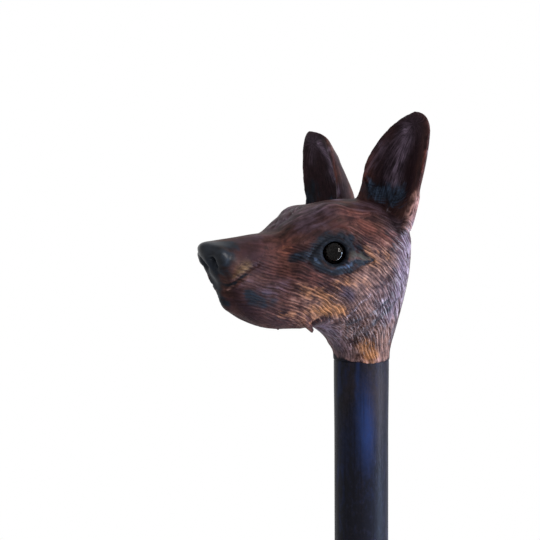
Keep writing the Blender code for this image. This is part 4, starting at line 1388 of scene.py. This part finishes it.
def knotsOf(places, radius, top):
    # how far the knots lift the skin, in millimetres, and how much each place is knot
    lift, share = np.zeros(len(places)), np.zeros(len(places))
    width, depth = shaft["dimple"]
    for drop, turn, reach, breadth, height in shaft["knots"]:
        off = np.arctan2(places[:, 1], places[:, 0]) - math.radians(turn)
        off = np.abs((off + math.pi) % (2 * math.pi) - math.pi) * radius / mm
        away = np.hypot((places[:, 2] - (top - drop * mm)) / mm / reach, off / breadth)
        bulge = np.exp(-away ** 2)
        lift += height * (bulge - depth * np.exp(-(away / width) ** 2))
        share = np.maximum(share, bulge)
    return lift, share


def makeShaft():
    low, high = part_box("shaft")
    outline, shoulder = shaftOutline(low, high)
    piece = lathe("stained_shaft", outline, shaft["sides"])

    # the natural stick: slow waves, and knots where twigs were trimmed off
    places = points(piece.data)
    radius = np.hypot(places[:, 0], places[:, 1])
    skinShare = smoothStep((shaft["thinnest"] - 1) * mm, shaft["thinnest"] * mm, radius)
    comeIn, fullIn, comeOut, fullOut = (distance * mm for distance in shaft["calm"])
    ends = smoothStep(shoulder + comeIn, shoulder + fullIn, places[:, 2])
    ends *= 1.0 - smoothStep(high.z - comeOut, high.z - fullOut, places[:, 2])
    size, drawn, seed = shaft["wave"]
    knotLift, knotShare = knotsOf(places, radius, high.z)
    stretched = places / mm * np.array([1.0, 1.0, drawn])
    lift = shaft["uneven"] * (softNoise(stretched, size, seed) - 0.9) + knotLift
    way = places / np.maximum(radius, 1e-6)[:, None] * np.array([1.0, 1.0, 0.0])
    setPoints(piece.data, places + way * (lift * skinShare * ends)[:, None] * mm)
    addAttribute(piece, "knot", knotShare)

    tree = treeOf(piece)
    # the painted reflections, as attributes
    for name, dabs in reflectionDabs.items():
        bare = np.ones(len(places))
        for x, y, breadth, reach, strength in dabs:
            centre, _ = skinUnder(tree, (x, y))
            off = (toCollar(places) - centre) / np.array([breadth, breadth, reach])
            bare *= 1.0 - strength * np.exp(-np.sum(off ** 2, axis=1))
        addAttribute(piece, name, 1.0 - bare)

    # nothing stands out of the CAD shaft's box
    reach = max(high.x, high.y) - boxMargin
    places = points(piece.data)
    radius = np.hypot(places[:, 0], places[:, 1])
    places[:, :2] *= np.minimum(1.0, reach / np.maximum(radius, 1e-6))[:, None]
    setPoints(piece.data, places)
    boreOut(piece, *pinHole())
    return roundOff(piece, shaft["sharpAngle"])


def pinHole():
    # the radius, the height and the length of the hole for the pin
    low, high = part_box("ferrule_pin")
    radius = (high.z - low.z) / 2 + shaft["play"] * mm
    return radius, (high.z + low.z) / 2, 3 * (high.y - low.y)


def stainMaterial():
    # dark stain over long grain, blue and brown in random patches, with painted blue and brown reflections
    # on the shaft under the head
    material, shader, place = newMaterial("blue black stain")
    knot = attribute(place, "knot")
    drift = place.scaled((60.0, 60.0, 5.0))
    grain = place.scaled((420.0, 420.0, 26.0)).moved(drift.noise(1.0, detail=1.0, output=1))
    grain = grain.noise(1.0, detail=4.0, roughness=0.6)
    pore = place.scaled((1500.0, 1500.0, 40.0)).noise(1.0, detail=2.0)
    patch = place.scaled((150.0, 150.0, 45.0)).noise(1.0, detail=4.0, roughness=0.65)
    mottle = place.scaled((620.0, 620.0, 330.0)).noise(1.0, detail=4.0, roughness=0.7)
    speck = place.noise(1500.0, detail=2.0, roughness=0.6)
    # blue patches, and the painted blue reflection
    blue = (attribute(place, "blue") * 1.1 + patch.step(0.54, 0.7) * 0.45 + (mottle - 0.5) * 0.9).clamped()
    brown = attribute(place, "brown") + grain.step(0.52, 0.7) * (1 - blue) * 0.2 + (mottle - 0.5) * 1.1
    brown = (brown + (speck - 0.5) * 0.8).clamped()
    paint = blue.paint(shaft["stain"], shaft["blueStainAndReflection"])
    paint = (brown * 0.85).paint(paint, shaft["brownStainAndReflection"])
    paint = (pore.step(0.58, 0.75) * 0.45).paint(paint, shaft["pores"])
    paint = (knot.step(0.35, 0.9) * 0.7).paint(paint, shaft["brownStainAndReflection"])
    paint = (knot.step(0.85, 1.0) * 0.9).paint(paint, shaft["pores"])
    roughness = 0.42 + (grain - 0.5) * 0.25 + pore.step(0.55, 0.7) * 0.15
    height = grain * 0.4 - pore.step(0.5, 0.7) * 0.3 + mottle * 0.5
    setShader(shader, Base_Color=paint, Roughness=roughness, Specular_IOR_Level=0.06,
              Normal=height.bump(0.35, 0.12 * mm))
    return material


print("shaft")
finishPiece(makeShaft(), stainMaterial(), "stained_wood", "shaft")


# The ferrule, its pin and the stud
ferrule = {
    "sides": 128,
    "sharpAngle": 30,
    "softEdge": 0.5,          # millimetres, at the mouth
    "domeSteps": 16,
    "mouthDepth": 0.1,        # the CAD points this near to the mouth give its inner radius
    "near": 0.01,             # and these, its flat and its outer wall
    "underSole": 3,           # the sole's top is higher than this
    "wornTo": 9,              # the scuffs reach this high
    "metal": (0.135, 0.120, 0.150),
    "scuff": (0.30, 0.28, 0.30),
    "grime": (0.030, 0.026, 0.032),
    "pin": (0.42, 0.41, 0.42),
    "stud": (0.46, 0.46, 0.48),
}


def makeFerrule():
    low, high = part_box("ferrule")
    places = points(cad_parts["ferrule"].data)
    radii = np.hypot(places[:, 0], places[:, 1])
    radius = (high.x - low.x) / 2
    near = ferrule["near"] * mm
    inner = radii[places[:, 2] > high.z - ferrule["mouthDepth"] * mm].min()
    sole = places[(radii < inner * 1.01) & (places[:, 2] > ferrule["underSole"] * mm), 2].min()
    flat = radii[places[:, 2] < low.z + near].max()
    dome = places[radii > radius - near, 2].min()
    outline = [(flat * 0.5, low.z), (flat, low.z)]
    for step in range(1, ferrule["domeSteps"] + 1):
        angle = math.pi / 2 * (1 - step / ferrule["domeSteps"])
        outline.append((flat + (radius - flat) * math.cos(angle), dome * (1 - math.sin(angle))))
    edge = ferrule["softEdge"] * mm
    outline += [(radius, high.z - edge), (radius - 0.3 * edge, high.z - 0.3 * edge)]
    outline += [(radius - edge, high.z), (inner, high.z), (inner, sole)]
    piece = lathe("metal_ferrule", outline, ferrule["sides"])
    boreOut(piece, *pinHole())
    return roundOff(piece, ferrule["sharpAngle"])


def metalMaterial(name, tone, roughness, foot=0.0):
    # drawn metal: fine rings and scratches, duller and scuffed towards the foot
    material, shader, place = newMaterial(name)
    height = place.make("ShaderNodeSeparateXYZ", {}, {0: place}, 2)
    turned = place.scaled((40.0, 40.0, 2600.0)).noise(1.0, detail=2.0)
    cloud = place.noise(160.0, detail=4.0, roughness=0.6)
    scratch = place.scaled((900.0, 900.0, 90.0)).noise(1.0, detail=3.0, roughness=0.7)
    worn = (1 - height.step(foot * 0.3, foot)) if foot else cloud * 0.0
    paint = (cloud.step(0.4, 0.7) * 0.6).paint(tone, ferrule["grime"])
    scuffed = scratch.step(0.62, 0.72) * 0.5 + worn * cloud.step(0.45, 0.6) * 0.7
    paint = scuffed.paint(paint, ferrule["scuff"])
    rough = roughness + cloud * 0.2 + worn * 0.15 + (turned - 0.5) * 0.1
    setShader(shader, Base_Color=paint, Roughness=rough, Metallic=0.9,
              Normal=(turned * 0.4 + scratch * 0.6).bump(0.25, 0.04 * mm))
    return material


print("ferrule")
dullMetal = metalMaterial("dull ferrule metal", ferrule["metal"], 0.38, foot=ferrule["wornTo"] * mm)
finishPiece(makeFerrule(), dullMetal, "ferrule_metal", "ferrule")
for node, tone in (("ferrule_pin", ferrule["pin"]), ("head_stud", ferrule["stud"])):
    steel = metalMaterial("steel of " + node.replace("_", " "), tone, 0.28)
    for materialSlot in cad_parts[node].material_slots:
        materialSlot.material = steel


# Floor, background, lights and camera
stage = {
    "floorRadius": 1.9,
    "floorTone": (0.80, 0.80, 0.80),
    "floorShade": (0.76, 0.76, 0.77),
    "fade": (0.7, 1.75),      # the floor turns white between these distances from the middle
    "fill": 0.42,
    "aim": (-20, 0, 30),      # what the lights face, in millimetres from the collar
    # width and height, power, colour, and place: metres to the camera's right, towards it, and up
    "lights": {
        "key": ((0.45, 0.45), 7.0, (1.0, 0.96, 0.92), (0.66, 0.45, 0.30)),
        "front": ((0.60, 0.60), 0.35, (1.0, 0.97, 0.95), (-0.50, 0.70, 0.30)),
        "window": ((0.10, 0.85), 7.6, (0.55, 0.73, 1.0), (0.62, 0.08, -0.26)),
        "table": ((0.30, 0.16), 1.0, (0.85, 0.90, 1.0), (0.34, 0.06, -0.46)),
    },
}


def seenRays(tree):
    # 1 for what the camera, the gloss and the glass see, and 0 for the light that they don't
    rays = tree.nodes.new("ShaderNodeLightPath")
    names = ("Is Camera Ray", "Is Glossy Ray", "Is Transmission Ray")
    camera, glossy, through = (Value(tree, rays.outputs[name]) for name in names)
    return (camera + glossy + through).clamped()


def makeFloor():
    floor = addAlone(bpy.ops.mesh.primitive_circle_add, vertices=128, radius=stage["floorRadius"],
                     fill_type="NGON")
    floor.name = "floor"
    material, shader, place = newMaterial("pale floor")
    grain = place.noise(30.0, detail=3.0)
    paint = (grain * 0.5).paint(stage["floorTone"], stage["floorShade"])
    setShader(shader, Base_Color=paint, Roughness=0.9, Specular_IOR_Level=0.1)
    tree = material.node_tree
    distance = place.make("ShaderNodeVectorMath", {"operation": "LENGTH"}, {0: place}, 1)
    white = place.make("ShaderNodeEmission", {}, {"Color": (1.0, 1.0, 1.0, 1.0), "Strength": 1.0})
    share = seenRays(tree) * (distance.step(*stage["fade"]) * 0.6 + 0.4)
    mixed = place.make("ShaderNodeMixShader", {}, {0: share, 1: Value(tree, shader.outputs[0]), 2: white})
    tree.links.new(mixed.socket, tree.nodes["Material Output"].inputs["Surface"])
    floor.data.materials.append(material)


def makeWorld():
    # white for what the camera, the gloss and the glass see, and a plain fill for the rest
    world = bpy.data.worlds.new("studio")
    bpy.context.scene.world = world
    world.use_nodes = True
    tree = world.node_tree
    background = tree.nodes["Background"]
    background.inputs["Color"].default_value = (1.0, 1.0, 1.0, 1.0)
    strength = seenRays(tree) * (1 - stage["fill"]) + stage["fill"]
    tree.links.new(strength.socket, background.inputs["Strength"])


def fromCamera(right, near, up):
    # a place beside the head, in metres across the view, towards the camera and up
    forward = (fromCollar(*photo["aim"]) - fromCollar(*photo["place"])).normalized()
    across = forward.cross(Vector((0, 0, 1)))
    return fromCollar(*stage["aim"]) + across * right - forward * near + Vector((0, 0, up))


def makeLights():
    for name, ((width, height), power, tone, place) in stage["lights"].items():
        lamp = addAlone(bpy.ops.object.light_add, type="AREA", location=fromCamera(*place))
        lamp.name = name + "_light"
        lamp.data.shape = "ELLIPSE"
        lamp.data.size = width
        lamp.data.size_y = height
        lamp.visible_camera = False
        lamp.data.energy = power
        lamp.data.color = tone
        aim = fromCollar(*stage["aim"]) - lamp.location
        lamp.rotation_euler = aim.to_track_quat("-Z", "Y").to_euler()


def makeCamera():
    place = fromCollar(*photo["place"])
    camera = addAlone(bpy.ops.object.camera_add, location=place)
    camera.rotation_euler = (fromCollar(*photo["aim"]) - place).to_track_quat("-Z", "Y").to_euler()
    camera.data.sensor_width = photo["sensor"]
    camera.data.lens = photo["focal"] / photo["size"] * photo["sensor"]
    camera.data.clip_start, camera.data.clip_end = photo["clip"]
    bpy.context.scene.camera = camera


print("stage and lights")
makeFloor()
makeWorld()
makeLights()
makeCamera()
bpy.context.scene.view_settings.view_transform = "Standard"
